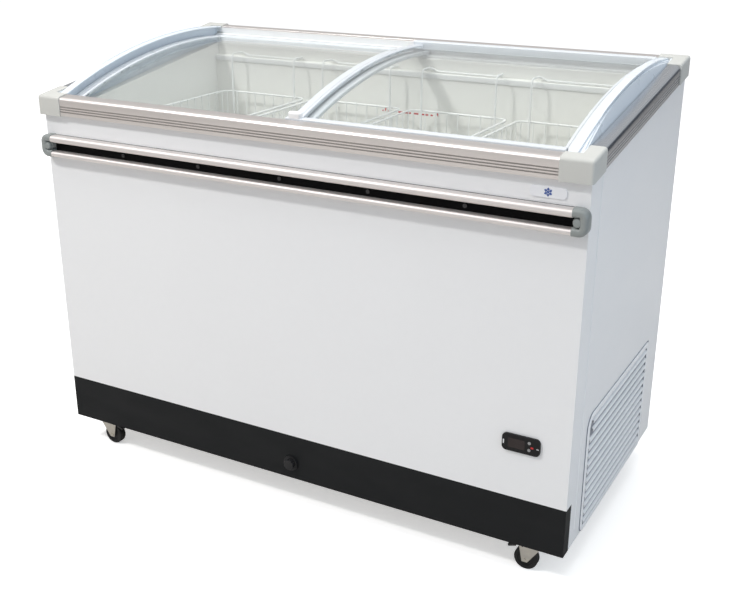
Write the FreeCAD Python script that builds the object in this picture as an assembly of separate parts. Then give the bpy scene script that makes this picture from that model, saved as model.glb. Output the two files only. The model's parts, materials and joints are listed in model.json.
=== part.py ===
import FreeCAD, Part
import math
import os

# Glass-top chest freezer, in millimetres. +X is right seen from the front, +Y is the back, +Z is up.
# The origin is on the floor under the middle of the whole object.

V = FreeCAD.Vector
X_AXIS = V(1, 0, 0)
Y_AXIS = V(0, 1, 0)
Z_AXIS = V(0, 0, 1)

# Cabinet
HALF_W = 625.0              # half the cabinet's width
FRONT_Y = -300.0            # outside of the front panel
BACK_Y = 315.0              # outside of the back panel
BASE_Z = 70.0               # underside of the cabinet, on top of the casters
KICK_TOP_Z = 175.0          # top of the kick plate
SHEET = 0.6                 # steel sheet of the shell and the liner
PAN_T = 1.2                 # base pan
PAN_TOP_Z = BASE_Z + PAN_T
KICK_RETURN = 29.0          # the kick plate's ends turn back this far
FIT_GAP = 0.2               # play between parts that are only assembled

# The deck is the sloping plane of the rim. Deck coordinates are s (towards the back) and n (normal, up).
DECK_ANGLE = 8.5            # degrees, the back is higher
DECK_Y = 4.0
DECK_Z = 905.7
COS_DECK = math.cos(math.radians(DECK_ANGLE))
SIN_DECK = math.sin(math.radians(DECK_ANGLE))
TAN_DECK = math.tan(math.radians(DECK_ANGLE))
DECK_HALF = 340.0           # longer than half the deck

# Rim
RIM_FRONT_Y = -312.0
RIM_BACK_Y = 320.0
RIM_HALF_W = 630.0
RIM_HEIGHT = 39.5           # face height
RIM_WALL = 2.5
RIM_EDGE_R = 7.0
RIM_INNER_S = 292.0         # rim's inner leg, in s
RIM_INNER_X = 601.0         # rim's inner leg, in x
RIM_LEG = 20.0              # depth of the inner leg
RIM_LIP = 8.5               # inward lip under the face
RIM_CLEAR = 1.0             # from the lip to the panel
CAP_INNER_X = 569.0         # joint between the front rim and its corner caps
CAP_INNER_Y = 246.0         # joint between a side rim and its corner caps
CAP_PROUD = 1.5
CAP_HEIGHT = 42.0

# Lids: all lid and arch surfaces are concentric, about an axis along X
LID_R = 1300.0              # top of the upper lid's frame
LID_TOP_N = 24.0            # its height over the deck at mid depth
LID_AXIS_N = LID_TOP_N - LID_R
FRAME_T = 8.0
GLASS_T = 4.0
GLASS_SINK = 2.0            # glass below the frame's top
LOWER_DROP = 13.5           # the left lid runs this much lower
LID_OUT_X = 583.0           # outer side of both lids
UPPER_IN_X = -2.0           # left edge of the right, upper lid
LOWER_IN_X = 36.0           # right edge of the left, lower lid
STILE_W = 25.0              # width of a lid's side frame
UPPER_S = 289.0             # half the upper lid's depth
UPPER_BAR_W = 15.0
UPPER_BAR_N = (-17.0, 2.0)
UPPER_BAR_X = 568.0         # the bars stop short of the arch
LOWER_S = 280.0
LOWER_BAR_W = 16.0
LOWER_BAR_N = (-28.0, -18.5)

# End arches
ARCH_IN_X = 572.0
ARCH_WALL_X = 586.0
ARCH_OUT_X = 600.0
ARCH_LEAN_X = 589.0         # outer face at the arch's height
ARCH_CLEAR = 5.5            # over the upper lid
ARCH_T = 3.5
ARCH_EDGE_X = 591.5
ARCH_LIP_T = 2.0
ARCH_LIP_S = (-165.0, 238.0)

# Lid rails
RAIL_TOP_N = -4.0
RAIL_BOTTOM_N = -33.0
UPPER_LEDGE_N = -17.5
LOWER_LEDGE_N = -28.6
RAIL_X = 585.8

# Liner
LINER_X = 565.0
LINER_FRONT_Y = -240.0
LINER_BACK_Y = 255.0
LINER_FLOOR_Z = 140.0
STEP_X = 345.0              # left side of the step over the compressor
STEP_Z = 400.0
THROAT = 12.0               # the liner is this much deeper over the basket ledge, front and back
LEDGE_N = -62.0
FLANGE_N = RAIL_BOTTOM_N
COIL_TURNS = 6
COIL_PITCH = 55.0
BAY_X = 405.0               # compressor bay
BAY_Z = 335.0
PANEL_TOP_N = -36.0

# Bumper
BUMPER_FRONT_Y = -321.5
BUMPER_X = 600.0
BUMPER_CAP_X = 629.0
BUMPER_Z = (726.0, 773.0)
LOWER_RAIL_TOP_Z = 737.5
UPPER_RAIL_BOTTOM_Z = 757.5
CHANNEL_T = 3.0
SCREW_Z = 747.5
SCREW_PITCH = 200.0
SCREW_HEAD_R = 4.0
SCREW_R = 2.0

# Controller
CTRL_X = 527.5
CTRL_Z = 295.0
CTRL_HALF_W = 38.5
CTRL_HALF_H = 18.0
BUTTON_R = 3.0
BUTTON_X = CTRL_X + 17.0
BUTTON_Z = (CTRL_Z - 7.5, CTRL_Z + 7.5)
BUTTON_CLEAR = 0.3

# Back louvres over the compressor bay, and the supply cord's gland
BACK_SLOT_X = (430.0, 600.0)
BACK_SLOT_Z = 170.0
BACK_SLOT_H = 7.0
BACK_SLOT_PITCH = 18.0
BACK_SLOTS = 9
GLAND_X = 450.0
GLAND_Z = 112.0
GLAND_BORE_R = 4.5
GLAND_R = 9.0

# Drain
DRAIN_X = 2.0
DRAIN_Z = 108.0
DRAIN_Y = -190.0
DRAIN_R = 10.0
DRAIN_WALL = 2.0
PLUG_CLEAR = 0.05

# Casters
CASTER_X = 558.0
CASTER_FRONT_Y = -264.0
CASTER_BACK_Y = 278.0
TRAIL = 18.0
WHEEL_R = 25.0
WHEEL_HALF_W = 9.0
FORK_IN_HALF = 11.0
FORK_T = 2.0
AXLE_R = 3.0
KINGPIN_R = 4.0
PIVOT_R = 2.0
PIVOT_X = 24.0              # pedal pivot, from the kingpin towards the trail
PIVOT_Z = 54.5
SHAFT_CLEAR = 0.05
FORK_TOP_Z = 62.6
PLATE_T = 2.5
BOLT_DX = 22.0
BOLT_DY = 17.0
BOLT_R = 2.7

# Baskets
BASKET_W = 249.0
BASKET_PITCH = 268.0
BASKET_LEFT = -518.0
BASKET_Y = (-215.0, 225.0)
BASKET_Z = (600.0, 800.0)
BASKET_BAR = 3.0
BASKET_RIM = 6.0
MESH_W = 28.0                # between the upright wires
MESH_H = 98.0                # between the level wires
HOOK_BAR = 5.0
HOOK_CLEAR = 0.4             # over the ledge
HOOK_INSET = 32.0

# Vent
VENT_Y = (-206.0, 225.0)
VENT_Z = (72.0, 332.0)
VENT_BORDER = 12.0
VENT_SLATS = 13


def box(x0, x1, y0, y1, z0, z1):
    return Part.makeBox(x1 - x0, y1 - y0, z1 - z0, V(x0, y0, z0))


def cylinder(radius, start, axis, length):
    return Part.makeCylinder(radius, length, start, axis)


def save(node, *shapes):
    """Writes one node, from one or more separate solids."""
    solids = []
    for shape in shapes:
        solids.extend(shape.Solids)
    whole = solids[0] if len(solids) == 1 else Part.makeCompound(solids)
    whole.exportStep("parts/" + node + ".step")


def mirrored(shape):
    return shape.mirror(V(0, 0, 0), X_AXIS)


def moved(shape, x=0.0, y=0.0, z=0.0):
    copy = shape.copy()
    copy.translate(V(x, y, z))
    return copy


def on_deck(shape):
    """Places a shape that was built with y as s and z as n."""
    placed = shape.copy()
    placed.rotate(V(0, 0, 0), X_AXIS, DECK_ANGLE)
    placed.translate(V(0, DECK_Y, DECK_Z))
    return placed


def deck_point(s, n):
    """World (y, z) of a deck point."""
    return (DECK_Y + s * COS_DECK - n * SIN_DECK, DECK_Z + s * SIN_DECK + n * COS_DECK)


def deck_height(y, n=0.0):
    """World z, above y, of the plane at height n over the deck."""
    return DECK_Z + (y - DECK_Y) * TAN_DECK + n / COS_DECK


def in_yz(u, v):
    return V(0, u, v)


def in_xz(u, v):
    return V(u, 0, v)


def in_xy(u, v):
    return V(u, v, 0)


def outline(points, plane, radii=None):
    """Closed face through 2-D points, where radii gives the corners that are rounded."""
    radii = radii or {}
    count = len(points)
    starts = []
    ends = []
    arcs = []
    for i, point in enumerate(points):
        corner = plane(*point)
        before = (plane(*points[i - 1]) - corner).normalize()
        after = (plane(*points[(i + 1) % count]) - corner).normalize()
        radius = radii.get(i, 0.0)
        if radius == 0.0:
            starts.append(corner)
            ends.append(corner)
            arcs.append(None)
            continue
        half = before.getAngle(after) / 2.0
        reach = radius / math.tan(half)
        bisector = (before + after).normalize()
        middle = corner + bisector * (radius / math.sin(half) - radius)
        starts.append(corner + before * reach)
        ends.append(corner + after * reach)
        arcs.append(middle)
    edges = []
    for i in range(count):
        if arcs[i] is not None:
            edges.append(Part.Arc(starts[i], arcs[i], ends[i]).toShape())
        edges.append(Part.LineSegment(ends[i], starts[(i + 1) % count]).toShape())
    return Part.Face(Part.Wire(edges))


def along_x(points, x0, x1, radii=None):
    """Prism along X with a (y, z) outline."""
    return moved(outline(points, in_yz, radii).extrude(V(x1 - x0, 0, 0)), x=x0)


def along_y(points, y0, y1, radii=None):
    """Prism along Y with an (x, z) outline."""
    return moved(outline(points, in_xz, radii).extrude(V(0, y1 - y0, 0)), y=y0)


def along_z(points, z0, z1, radii=None):
    """Prism along Z with an (x, y) outline."""
    return moved(outline(points, in_xy, radii).extrude(V(0, 0, z1 - z0)), z=z0)


def rectangle(u0, u1, v0, v1):
    return [(u0, v0), (u1, v0), (u1, v1), (u0, v1)]


def arc_band(r_in, r_out, s0, s1, x0, x1):
    """Curved band about the lids' common axis, in deck coordinates."""
    def at(radius, s):
        return V(x0, s, math.sqrt(radius ** 2 - s ** 2) + LID_AXIS_N)
    middle = (s0 + s1) / 2.0
    edges = [
        Part.Arc(at(r_out, s0), at(r_out, middle), at(r_out, s1)).toShape(),
        Part.LineSegment(at(r_out, s1), at(r_in, s1)).toShape(),
        Part.Arc(at(r_in, s1), at(r_in, middle), at(r_in, s0)).toShape(),
        Part.LineSegment(at(r_in, s0), at(r_out, s0)).toShape(),
    ]
    return Part.Face(Part.Wire(edges)).extrude(V(x1 - x0, 0, 0))


def tube(points, radius, bend):
    """Round bar along straight runs joined by tangent arcs."""
    edges = []
    start = points[0]
    for i in range(1, len(points) - 1):
        corner = points[i]
        before = (points[i - 1] - corner).normalize()
        after = (points[i + 1] - corner).normalize()
        half = before.getAngle(after) / 2.0
        reach = bend / math.tan(half)
        middle = corner + (before + after).normalize() * (bend / math.sin(half) - bend)
        edges.append(Part.LineSegment(start, corner + before * reach).toShape())
        edges.append(Part.Arc(corner + before * reach, middle, corner + after * reach).toShape())
        start = corner + after * reach
    edges.append(Part.LineSegment(start, points[-1]).toShape())
    direction = (points[1] - points[0]).normalize()
    section = Part.Wire([Part.Circle(points[0], direction, radius).toShape()])
    return Part.Wire(edges).makePipeShell([section], True, True)


def below_plane(n, x0, x1, y0, y1, z0):
    """Everything under a plane parallel to the deck, over a rectangle."""
    points = [(y0, z0), (y1, z0), (y1, deck_height(y1, n)), (y0, deck_height(y0, n))]
    return along_x(points, x0, x1)


# Cabinet shell ------------------------------------------------------------------------------------

def front_panel():
    panel = box(-HALF_W, HALF_W, FRONT_Y, FRONT_Y + SHEET, KICK_TOP_Z, deck_height(FRONT_Y, PANEL_TOP_N))
    cutout_w = 36.0
    cutout_h = 14.5
    hole = box(CTRL_X - cutout_w, CTRL_X + cutout_w, FRONT_Y - 1, FRONT_Y + 3,
               CTRL_Z - cutout_h, CTRL_Z + cutout_h)
    panel = panel.cut(hole)
    for x in screw_places():
        panel = panel.cut(cylinder(SCREW_R + 0.2, V(x, FRONT_Y - 1, SCREW_Z), Y_AXIS, 5))
    save("front_panel", panel)


def side_panel():
    """Right side panel, before its vent opening, with the long bead pressed near its front edge."""
    front = FRONT_Y + SHEET
    back = BACK_Y - SHEET
    points = [
        (front + KICK_RETURN, BASE_Z), (back, BASE_Z), (back, deck_height(back, PANEL_TOP_N)),
        (front, deck_height(front, PANEL_TOP_N)), (front, KICK_TOP_Z), (front + KICK_RETURN, KICK_TOP_Z),
    ]
    panel = along_x(points, HALF_W - SHEET, HALF_W)
    bead_y = FRONT_Y + 60.0
    bead_r = 1.5
    bead_z0 = BASE_Z + 30.0
    bead_z1 = deck_height(bead_y, -RIM_HEIGHT) - 12.0
    bead = cylinder(bead_r, V(HALF_W - SHEET / 2, bead_y, bead_z0), Z_AXIS, bead_z1 - bead_z0)
    keep = box(HALF_W - SHEET, HALF_W + bead_r, bead_y - 5, bead_y + 5, bead_z0, bead_z1)
    return panel.fuse(bead.common(keep)).removeSplitter()


def side_panels():
    save("left_side_panel", mirrored(side_panel()))
    opening = along_x(
        rectangle(VENT_Y[0] + 6, VENT_Y[1] - 6, VENT_Z[0] + 6, VENT_Z[1] - 6),
        HALF_W - 5, HALF_W + 5, {0: 8.0, 3: 24.0})
    save("right_side_panel", side_panel().cut(opening))


def vent_grille():
    """Pressed grille with a raised border and slanted louvres."""
    inner = HALF_W - SHEET
    clear = 6.0 + FIT_GAP
    plate = along_x(
        rectangle(VENT_Y[0] + clear, VENT_Y[1] - clear, VENT_Z[0] + clear, VENT_Z[1] - clear),
        inner, HALF_W, {0: 7.8, 3: 23.8})
    rim = along_x(rectangle(*VENT_Y, *VENT_Z), HALF_W, HALF_W + 1.5, {0: 14.0, 3: 30.0})
    field = rectangle(VENT_Y[0] + VENT_BORDER, VENT_Y[1] - VENT_BORDER,
                      VENT_Z[0] + VENT_BORDER, VENT_Z[1] - VENT_BORDER)
    rim = rim.cut(along_x(field, HALF_W - 1, HALF_W + 3, {0: 6.0, 3: 20.0}))
    grille = plate.fuse(rim)
    pitch = (field[2][1] - field[0][1]) / VENT_SLATS
    slot_h = 7.0
    inset = 22.0
    for i in range(VENT_SLATS):
        z = field[0][1] + pitch * (i + 0.5)
        y0 = field[0][0] + (inset if i > VENT_SLATS - 3 else 6.0)
        y1 = field[1][0] - 6.0
        grille = grille.cut(box(inner - 1, HALF_W + 1, y0, y1, z - slot_h / 2, z + slot_h / 2))
        louvre = along_y([(inner, z + slot_h / 2), (inner, z + slot_h / 2 + 1.4), (HALF_W + 2.6, z - 1.6),
                          (HALF_W + 2.6, z - 3.0)], y0, y1)
        grille = grille.fuse(louvre)
    save("vent_grille", grille.removeSplitter())


def back_panel():
    top = deck_height(BACK_Y - SHEET, PANEL_TOP_N)
    panel = box(-HALF_W, HALF_W, BACK_Y - SHEET, BACK_Y, BASE_Z, top)
    for i in range(BACK_SLOTS):
        z = BACK_SLOT_Z + BACK_SLOT_PITCH * i
        panel = panel.cut(box(*BACK_SLOT_X, BACK_Y - 5, BACK_Y + 5, z, z + BACK_SLOT_H))
    panel = panel.cut(cylinder(GLAND_R, V(GLAND_X, BACK_Y - 5, GLAND_Z), Y_AXIS, 10))
    save("back_panel", panel)


def cord_gland():
    """Bush for the supply cord, with a flange outside the back panel."""
    bush = cylinder(GLAND_R - 0.1, V(GLAND_X, BACK_Y - 14, GLAND_Z), Y_AXIS, 14)
    flange = cylinder(GLAND_R + 3, V(GLAND_X, BACK_Y, GLAND_Z), Y_AXIS, 4)
    bore = cylinder(GLAND_BORE_R, V(GLAND_X, BACK_Y - 20, GLAND_Z), Y_AXIS, 40)
    save("cord_gland", bush.fuse(flange).cut(bore).removeSplitter())


def base_pan():
    pan = box(-HALF_W + SHEET + FIT_GAP, HALF_W - SHEET - FIT_GAP,
              FRONT_Y + SHEET + FIT_GAP, BACK_Y - SHEET - FIT_GAP, BASE_Z, PAN_TOP_Z)
    for place in bolt_places():
        pan = pan.cut(cylinder(BOLT_R + 0.1, V(place.x, place.y, BASE_Z - 1), Z_AXIS, 5))
    save("base_pan", pan)


def kick_plate():
    front = box(-HALF_W, HALF_W, FRONT_Y, FRONT_Y + SHEET, BASE_Z, KICK_TOP_Z)
    hole = cylinder(DRAIN_R + DRAIN_WALL + FIT_GAP, V(DRAIN_X, FRONT_Y - 5, DRAIN_Z), Y_AXIS, 10)
    back_edge = FRONT_Y + SHEET + KICK_RETURN
    side = box(HALF_W - SHEET, HALF_W, FRONT_Y + SHEET, back_edge, BASE_Z, KICK_TOP_Z)
    plate = front.cut(hole).fuse(side).fuse(mirrored(side)).removeSplitter()
    save("kick_plate", plate)


# Liner, foam and evaporator -----------------------------------------------------------------------

def liner_panels():
    """The liner's sheet panels, and the flanges under the lid rails."""
    x = LINER_X
    out = LINER_X + SHEET
    front = LINER_FRONT_Y
    back = LINER_BACK_Y
    floor = LINER_FLOOR_Z
    under = LEDGE_N - SHEET
    panels = []
    drain = cylinder(DRAIN_R, V(DRAIN_X, DRAIN_Y, floor - 5), Z_AXIS, 10)
    panels.append(box(-x, STEP_X, front, back, floor - SHEET, floor).cut(drain))
    panels.append(box(STEP_X, STEP_X + SHEET, front, back, floor - SHEET, STEP_Z - SHEET))
    panels.append(box(STEP_X, x, front, back, STEP_Z - SHEET, STEP_Z))
    for y0, y1 in ((front - SHEET, front), (back, back + SHEET)):
        top = min(deck_height(y0, under), deck_height(y1, under))
        shape = [(-out, floor - SHEET), (STEP_X + SHEET, floor - SHEET), (STEP_X + SHEET, STEP_Z - SHEET),
                 (out, STEP_Z - SHEET), (out, top), (-out, top)]
        panels.append(along_y(shape, y0, y1))
    y0 = front - THROAT - SHEET
    y1 = back + THROAT + SHEET
    for side, low in ((-1, floor - SHEET), (1, STEP_Z - SHEET)):
        shape = [(front, low), (back, low), (back, deck_height(back, LEDGE_N)), (y1, deck_height(y1, LEDGE_N)),
                 (y1, deck_height(y1, FLANGE_N - SHEET)), (y0, deck_height(y0, FLANGE_N - SHEET)),
                 (y0, deck_height(y0, LEDGE_N)), (front, deck_height(front, LEDGE_N))]
        wall = along_x(shape, x, out)
        panels.append(wall if side > 0 else mirrored(wall))
    for inner, outer in ((front, y0), (back, y1)):
        low, high = sorted((inner, outer))
        ledge = [(low, deck_height(low, under)), (high, deck_height(high, under)),
                 (high, deck_height(high, LEDGE_N)), (low, deck_height(low, LEDGE_N))]
        panels.append(along_x(ledge, -x, x))
        near, far = (outer, outer + SHEET) if outer < inner else (outer - SHEET, outer)
        throat = [(near, deck_height(near, LEDGE_N)), (far, deck_height(far, LEDGE_N)),
                  (far, deck_height(far, FLANGE_N - SHEET)), (near, deck_height(near, FLANGE_N - SHEET))]
        panels.append(along_x(throat, -x, x))
    edge_x = HALF_W - SHEET - 2.0
    for low, high in ((FRONT_Y + 3, y0), (y1, BACK_Y - 3)):
        flange = [(low, deck_height(low, FLANGE_N - SHEET)), (high, deck_height(high, FLANGE_N - SHEET)),
                  (high, deck_height(high, FLANGE_N)), (low, deck_height(low, FLANGE_N))]
        panels.append(along_x(flange, -edge_x, edge_x))
    side = [(y0, deck_height(y0, FLANGE_N - SHEET)), (y1, deck_height(y1, FLANGE_N - SHEET)),
            (y1, deck_height(y1, FLANGE_N)), (y0, deck_height(y0, FLANGE_N))]
    panels.append(along_x(side, x, edge_x))
    panels.append(mirrored(panels[-1]))
    return panels


def evaporator_coil():
    """One tube wound round the liner, swinging clear of its sharp corners and climbing along its back."""
    radius = 4.0
    gap = SHEET + radius + 0.5
    x = LINER_X + gap
    front = LINER_FRONT_Y - gap
    back = LINER_BACK_Y + gap
    run = 40.0
    swing = 6.0
    bend = 12.0
    z = STEP_Z + 30.0
    points = [V(0, back, z)]
    for _ in range(COIL_TURNS):
        for i, (sx, y, sy) in enumerate(((1, back, 1), (1, front, -1), (-1, front, -1), (-1, back, 1))):
            round_corner = [V(sx * (x - run), y, z), V(sx * (x + swing), y + sy * swing, z),
                            V(sx * x, y - sy * run, z)]
            points.extend(reversed(round_corner) if i % 2 else round_corner)
        z += COIL_PITCH
    points.append(V(0, back, z - COIL_PITCH / 2))
    return tube(points, radius, bend)


def drain_route():
    return [V(DRAIN_X, DRAIN_Y, LINER_FLOOR_Z - SHEET), V(DRAIN_X, DRAIN_Y, DRAIN_Z),
            V(DRAIN_X, FRONT_Y + FIT_GAP, DRAIN_Z)]


def drain_tube():
    route = drain_route()
    bend = 14.0
    outer = tube(route, DRAIN_R + DRAIN_WALL, bend)
    inner = tube(route, DRAIN_R, bend)
    return outer.cut(inner), outer


def foam_and_core():
    panels = liner_panels()
    coil = evaporator_coil()
    pipe, pipe_core = drain_tube()
    x = HALF_W - SHEET - FIT_GAP
    foam = below_plane(FLANGE_N - SHEET - FIT_GAP, -x, x, FRONT_Y + SHEET + FIT_GAP,
                       BACK_Y - SHEET - FIT_GAP, PAN_TOP_Z)
    cavity_x = LINER_X + SHEET
    y0 = LINER_FRONT_Y - SHEET
    y1 = LINER_BACK_Y + SHEET
    high = 1000.0
    main = box(-cavity_x, STEP_X + SHEET, y0, y1, LINER_FLOOR_Z - SHEET, high)
    over_step = box(STEP_X, cavity_x, y0, y1, STEP_Z - SHEET, high)
    throat_y0 = y0 - THROAT
    throat_y1 = y1 + THROAT
    under = LEDGE_N - SHEET
    throat = along_x([(throat_y0, deck_height(throat_y0, under)), (throat_y1, deck_height(throat_y1, under)),
                      (throat_y1, high), (throat_y0, high)], -cavity_x, cavity_x)
    bay = box(BAY_X, HALF_W, FRONT_Y, BACK_Y, BASE_Z, BAY_Z)
    for tool in (main, over_step, throat, bay, coil, pipe_core):
        foam = foam.cut(tool)
    for x_screw in screw_places():
        foam = foam.cut(cylinder(SCREW_R + 0.2, V(x_screw, FRONT_Y, SCREW_Z), Y_AXIS, 14))
    save("inner_liner", *panels)
    save("evaporator_coil", coil)
    save("drain_tube", pipe)
    save("foam_insulation", foam)


# Rim ----------------------------------------------------------------------------------------------

def rim_profile(outer, top_plane, inner_top, inner_bottom, out_sign, lip_end):
    """Hollow rim section in (y, z): a vertical face, a sloping top and a short inner leg."""
    wall = RIM_WALL
    bottom = top_plane(outer) - RIM_HEIGHT
    inside = outer - out_sign * wall
    leg = (inner_top[0] + out_sign * wall, top_plane(inner_top[0] + out_sign * wall) - wall)
    foot = (inner_bottom[0] + out_sign * wall, inner_bottom[1])
    return [
        (outer, bottom), (outer, top_plane(outer)), inner_top, inner_bottom, foot, leg,
        (inside, top_plane(inside) - wall), (inside, bottom + wall), (lip_end, bottom + wall), (lip_end, bottom),
    ]


RIM_RADII = {1: RIM_EDGE_R, 6: RIM_EDGE_R - RIM_WALL}
GROOVE_PITCH = 3.5
GROOVE_W = 1.2
GROOVE_DEPTH = 0.8


def front_rim():
    top = deck_point(-RIM_INNER_S, 0.0)
    foot = deck_point(-RIM_INNER_S, -RIM_LEG)
    points = rim_profile(RIM_FRONT_Y, deck_height, top, foot, -1, FRONT_Y - RIM_CLEAR)
    rim = along_x(points, -CAP_INNER_X, CAP_INNER_X, RIM_RADII)
    for i in range(3):
        z = points[0][1] + 4.0 + GROOVE_PITCH * i
        rim = rim.cut(box(-700, 700, RIM_FRONT_Y - 1, RIM_FRONT_Y + GROOVE_DEPTH, z, z + GROOVE_W))
    save("rim_front", rim)


def rear_rim():
    top = deck_point(RIM_INNER_S, 0.0)
    foot = deck_point(RIM_INNER_S, -RIM_LEG)
    points = rim_profile(RIM_BACK_Y, deck_height, top, foot, 1, BACK_Y + RIM_CLEAR)
    rim = along_x(points, -CAP_INNER_X, CAP_INNER_X, RIM_RADII)
    for i in range(3):
        z = points[0][1] + 4.0 + GROOVE_PITCH * i
        rim = rim.cut(box(-700, 700, RIM_BACK_Y - GROOVE_DEPTH, RIM_BACK_Y + 1, z, z + GROOVE_W))
    save("rim_rear", rim)


def side_rims():
    def flat(x):
        return 0.0
    points = rim_profile(RIM_HALF_W, flat, (RIM_INNER_X, 0.0), (RIM_INNER_X, -RIM_LEG), 1, HALF_W + RIM_CLEAR)
    rim = along_y(points, -DECK_HALF, DECK_HALF, RIM_RADII)
    for i in range(3):
        n = -RIM_HEIGHT + 4.0 + GROOVE_PITCH * i
        rim = rim.cut(box(RIM_HALF_W - GROOVE_DEPTH, RIM_HALF_W + 1, -DECK_HALF, DECK_HALF, n, n + GROOVE_W))
    span = box(0, 700, -CAP_INNER_Y, CAP_INNER_Y, 0, 1200)
    rim = on_deck(rim).common(span)
    save("rim_right", rim)
    save("rim_left", mirrored(rim))


def deck_inside(margin, bottom_n, top_n):
    """Deck-aligned block that fills the rim's opening, grown by a margin, on the right-hand side."""
    s_edge = RIM_INNER_S + margin
    return on_deck(box(0, RIM_INNER_X + margin, -s_edge, s_edge, bottom_n, top_n))


def corner_cap(outer_y, joint_y):
    """Hollow moulded cap over one right-hand corner, with an L-shaped plan and short inner legs."""
    out_x = RIM_HALF_W + CAP_PROUD
    sign = -1.0 if outer_y < joint_y else 1.0
    wall = RIM_WALL
    low, high = sorted((outer_y, joint_y))
    slab = [(low, deck_height(low, CAP_PROUD) - CAP_HEIGHT), (high, deck_height(high, CAP_PROUD) - CAP_HEIGHT),
            (high, deck_height(high, CAP_PROUD)), (low, deck_height(low, CAP_PROUD))]
    radii = {3: 5.0} if sign < 0 else {2: 5.0, 1: 12.0}
    block = along_x(slab, CAP_INNER_X, out_x, radii)
    plan = [(CAP_INNER_X, outer_y), (out_x, outer_y), (out_x, joint_y), (CAP_INNER_X, joint_y)]
    block = block.common(along_z(plan, 0, 1200, {1: 6.0})).cut(deck_inside(0, -100, 100))
    in_y = outer_y - sign * wall
    cavity_plan = [(CAP_INNER_X - 1, in_y), (out_x - wall, in_y), (out_x - wall, joint_y - sign),
                   (CAP_INNER_X - 1, joint_y - sign)]
    inner_prism = along_z(cavity_plan, 0, 1200, {1: 3.5})
    cavity = inner_prism.common(below_plane(CAP_PROUD - wall, 500, 700, low - 10, high + 10, 0))
    under_legs = inner_prism.common(below_plane(-RIM_LEG, 500, 700, low - 10, high + 10, 0))
    return block.cut(cavity.cut(deck_inside(wall, -100, 100))).cut(under_legs)


def corner_caps():
    front = corner_cap(RIM_FRONT_Y - CAP_PROUD, -CAP_INNER_Y)
    back = corner_cap(RIM_BACK_Y + CAP_PROUD, CAP_INNER_Y)
    save("rim_corner_caps", front, mirrored(front), back, mirrored(back))


# Lid rails, arches and lids -----------------------------------------------------------------------

def lid_rails():
    """Stepped tracks: the outer ledge carries the upper lid and the inner one the lower lid."""
    outer = RIM_INNER_S
    wall = UPPER_S + 1.0
    step = LOWER_S + 1.0
    inner = LOWER_S - LOWER_BAR_W
    under_leg = -RIM_LEG - 1.0
    points = [(-outer, RAIL_TOP_N), (-wall, RAIL_TOP_N), (-wall, UPPER_LEDGE_N), (-step, UPPER_LEDGE_N),
              (-step, LOWER_LEDGE_N), (-inner, LOWER_LEDGE_N), (-inner, RAIL_BOTTOM_N),
              (-step - 5.0, RAIL_BOTTOM_N), (-step - 5.0, under_leg), (-outer, under_leg)]
    front = along_x(points, -RAIL_X, RAIL_X)
    back = front.mirror(V(0, 0, 0), Y_AXIS)
    save("lid_rail_front", on_deck(front))
    save("lid_rail_rear", on_deck(back))


def end_arch():
    """Right-hand arch: a leaning wall and a curved cover strip over the lid's edge."""
    under = LID_R + ARCH_CLEAR
    top = under + ARCH_T
    half = RIM_INNER_S - 1.0
    slab = box(ARCH_WALL_X, ARCH_OUT_X, -half, half, RAIL_BOTTOM_N, 60.0)
    ceiling = cylinder(under + 0.5, V(0, 0, LID_AXIS_N), X_AXIS, 700)
    wall = slab.common(ceiling)
    height = LID_TOP_N + ARCH_CLEAR + ARCH_T
    lean = [(ARCH_OUT_X, 0.0), (ARCH_LEAN_X, height), (ARCH_LEAN_X, 80.0), (620.0, 80.0), (620.0, 0.0)]
    wall = wall.cut(along_y(lean, -DECK_HALF, DECK_HALF))
    strip = arc_band(under, top, -half, half, ARCH_IN_X, ARCH_EDGE_X)
    lip = arc_band(top - 0.2, top + ARCH_LIP_T, *ARCH_LIP_S, ARCH_WALL_X, ARCH_EDGE_X)
    return on_deck(wall.fuse(strip).fuse(lip).removeSplitter())


def end_arches():
    arch = end_arch()
    save("end_arch_right", arch)
    save("end_arch_left", mirrored(arch))


def lid(name, radius, x0, x1, bar_x0, bar_x1, half, bar_w, bar_n):
    """A sliding lid: curved glass, two curved side frames, and a bar at the front and back."""
    inner = half - bar_w
    stiles = [arc_band(radius - FRAME_T, radius, -inner, inner, x0, x0 + STILE_W),
              arc_band(radius - FRAME_T, radius, -inner, inner, x1 - STILE_W, x1)]
    glass_top = radius - GLASS_SINK
    glass = arc_band(glass_top - GLASS_T, glass_top, -inner, inner, x0 + STILE_W, x1 - STILE_W)
    bars = [box(bar_x0, bar_x1, -half, -inner, *bar_n), box(bar_x0, bar_x1, inner, half, *bar_n)]
    save(name + "_glass", on_deck(glass))
    save(name + "_frame", *[on_deck(piece) for piece in stiles + bars])


def lids():
    lid("right_lid", LID_R, UPPER_IN_X, LID_OUT_X, UPPER_IN_X, UPPER_BAR_X, UPPER_S, UPPER_BAR_W, UPPER_BAR_N)
    lid("left_lid", LID_R - LOWER_DROP, -LID_OUT_X, LOWER_IN_X, -LID_OUT_X, LOWER_IN_X, LOWER_S, LOWER_BAR_W,
        LOWER_BAR_N)


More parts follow.
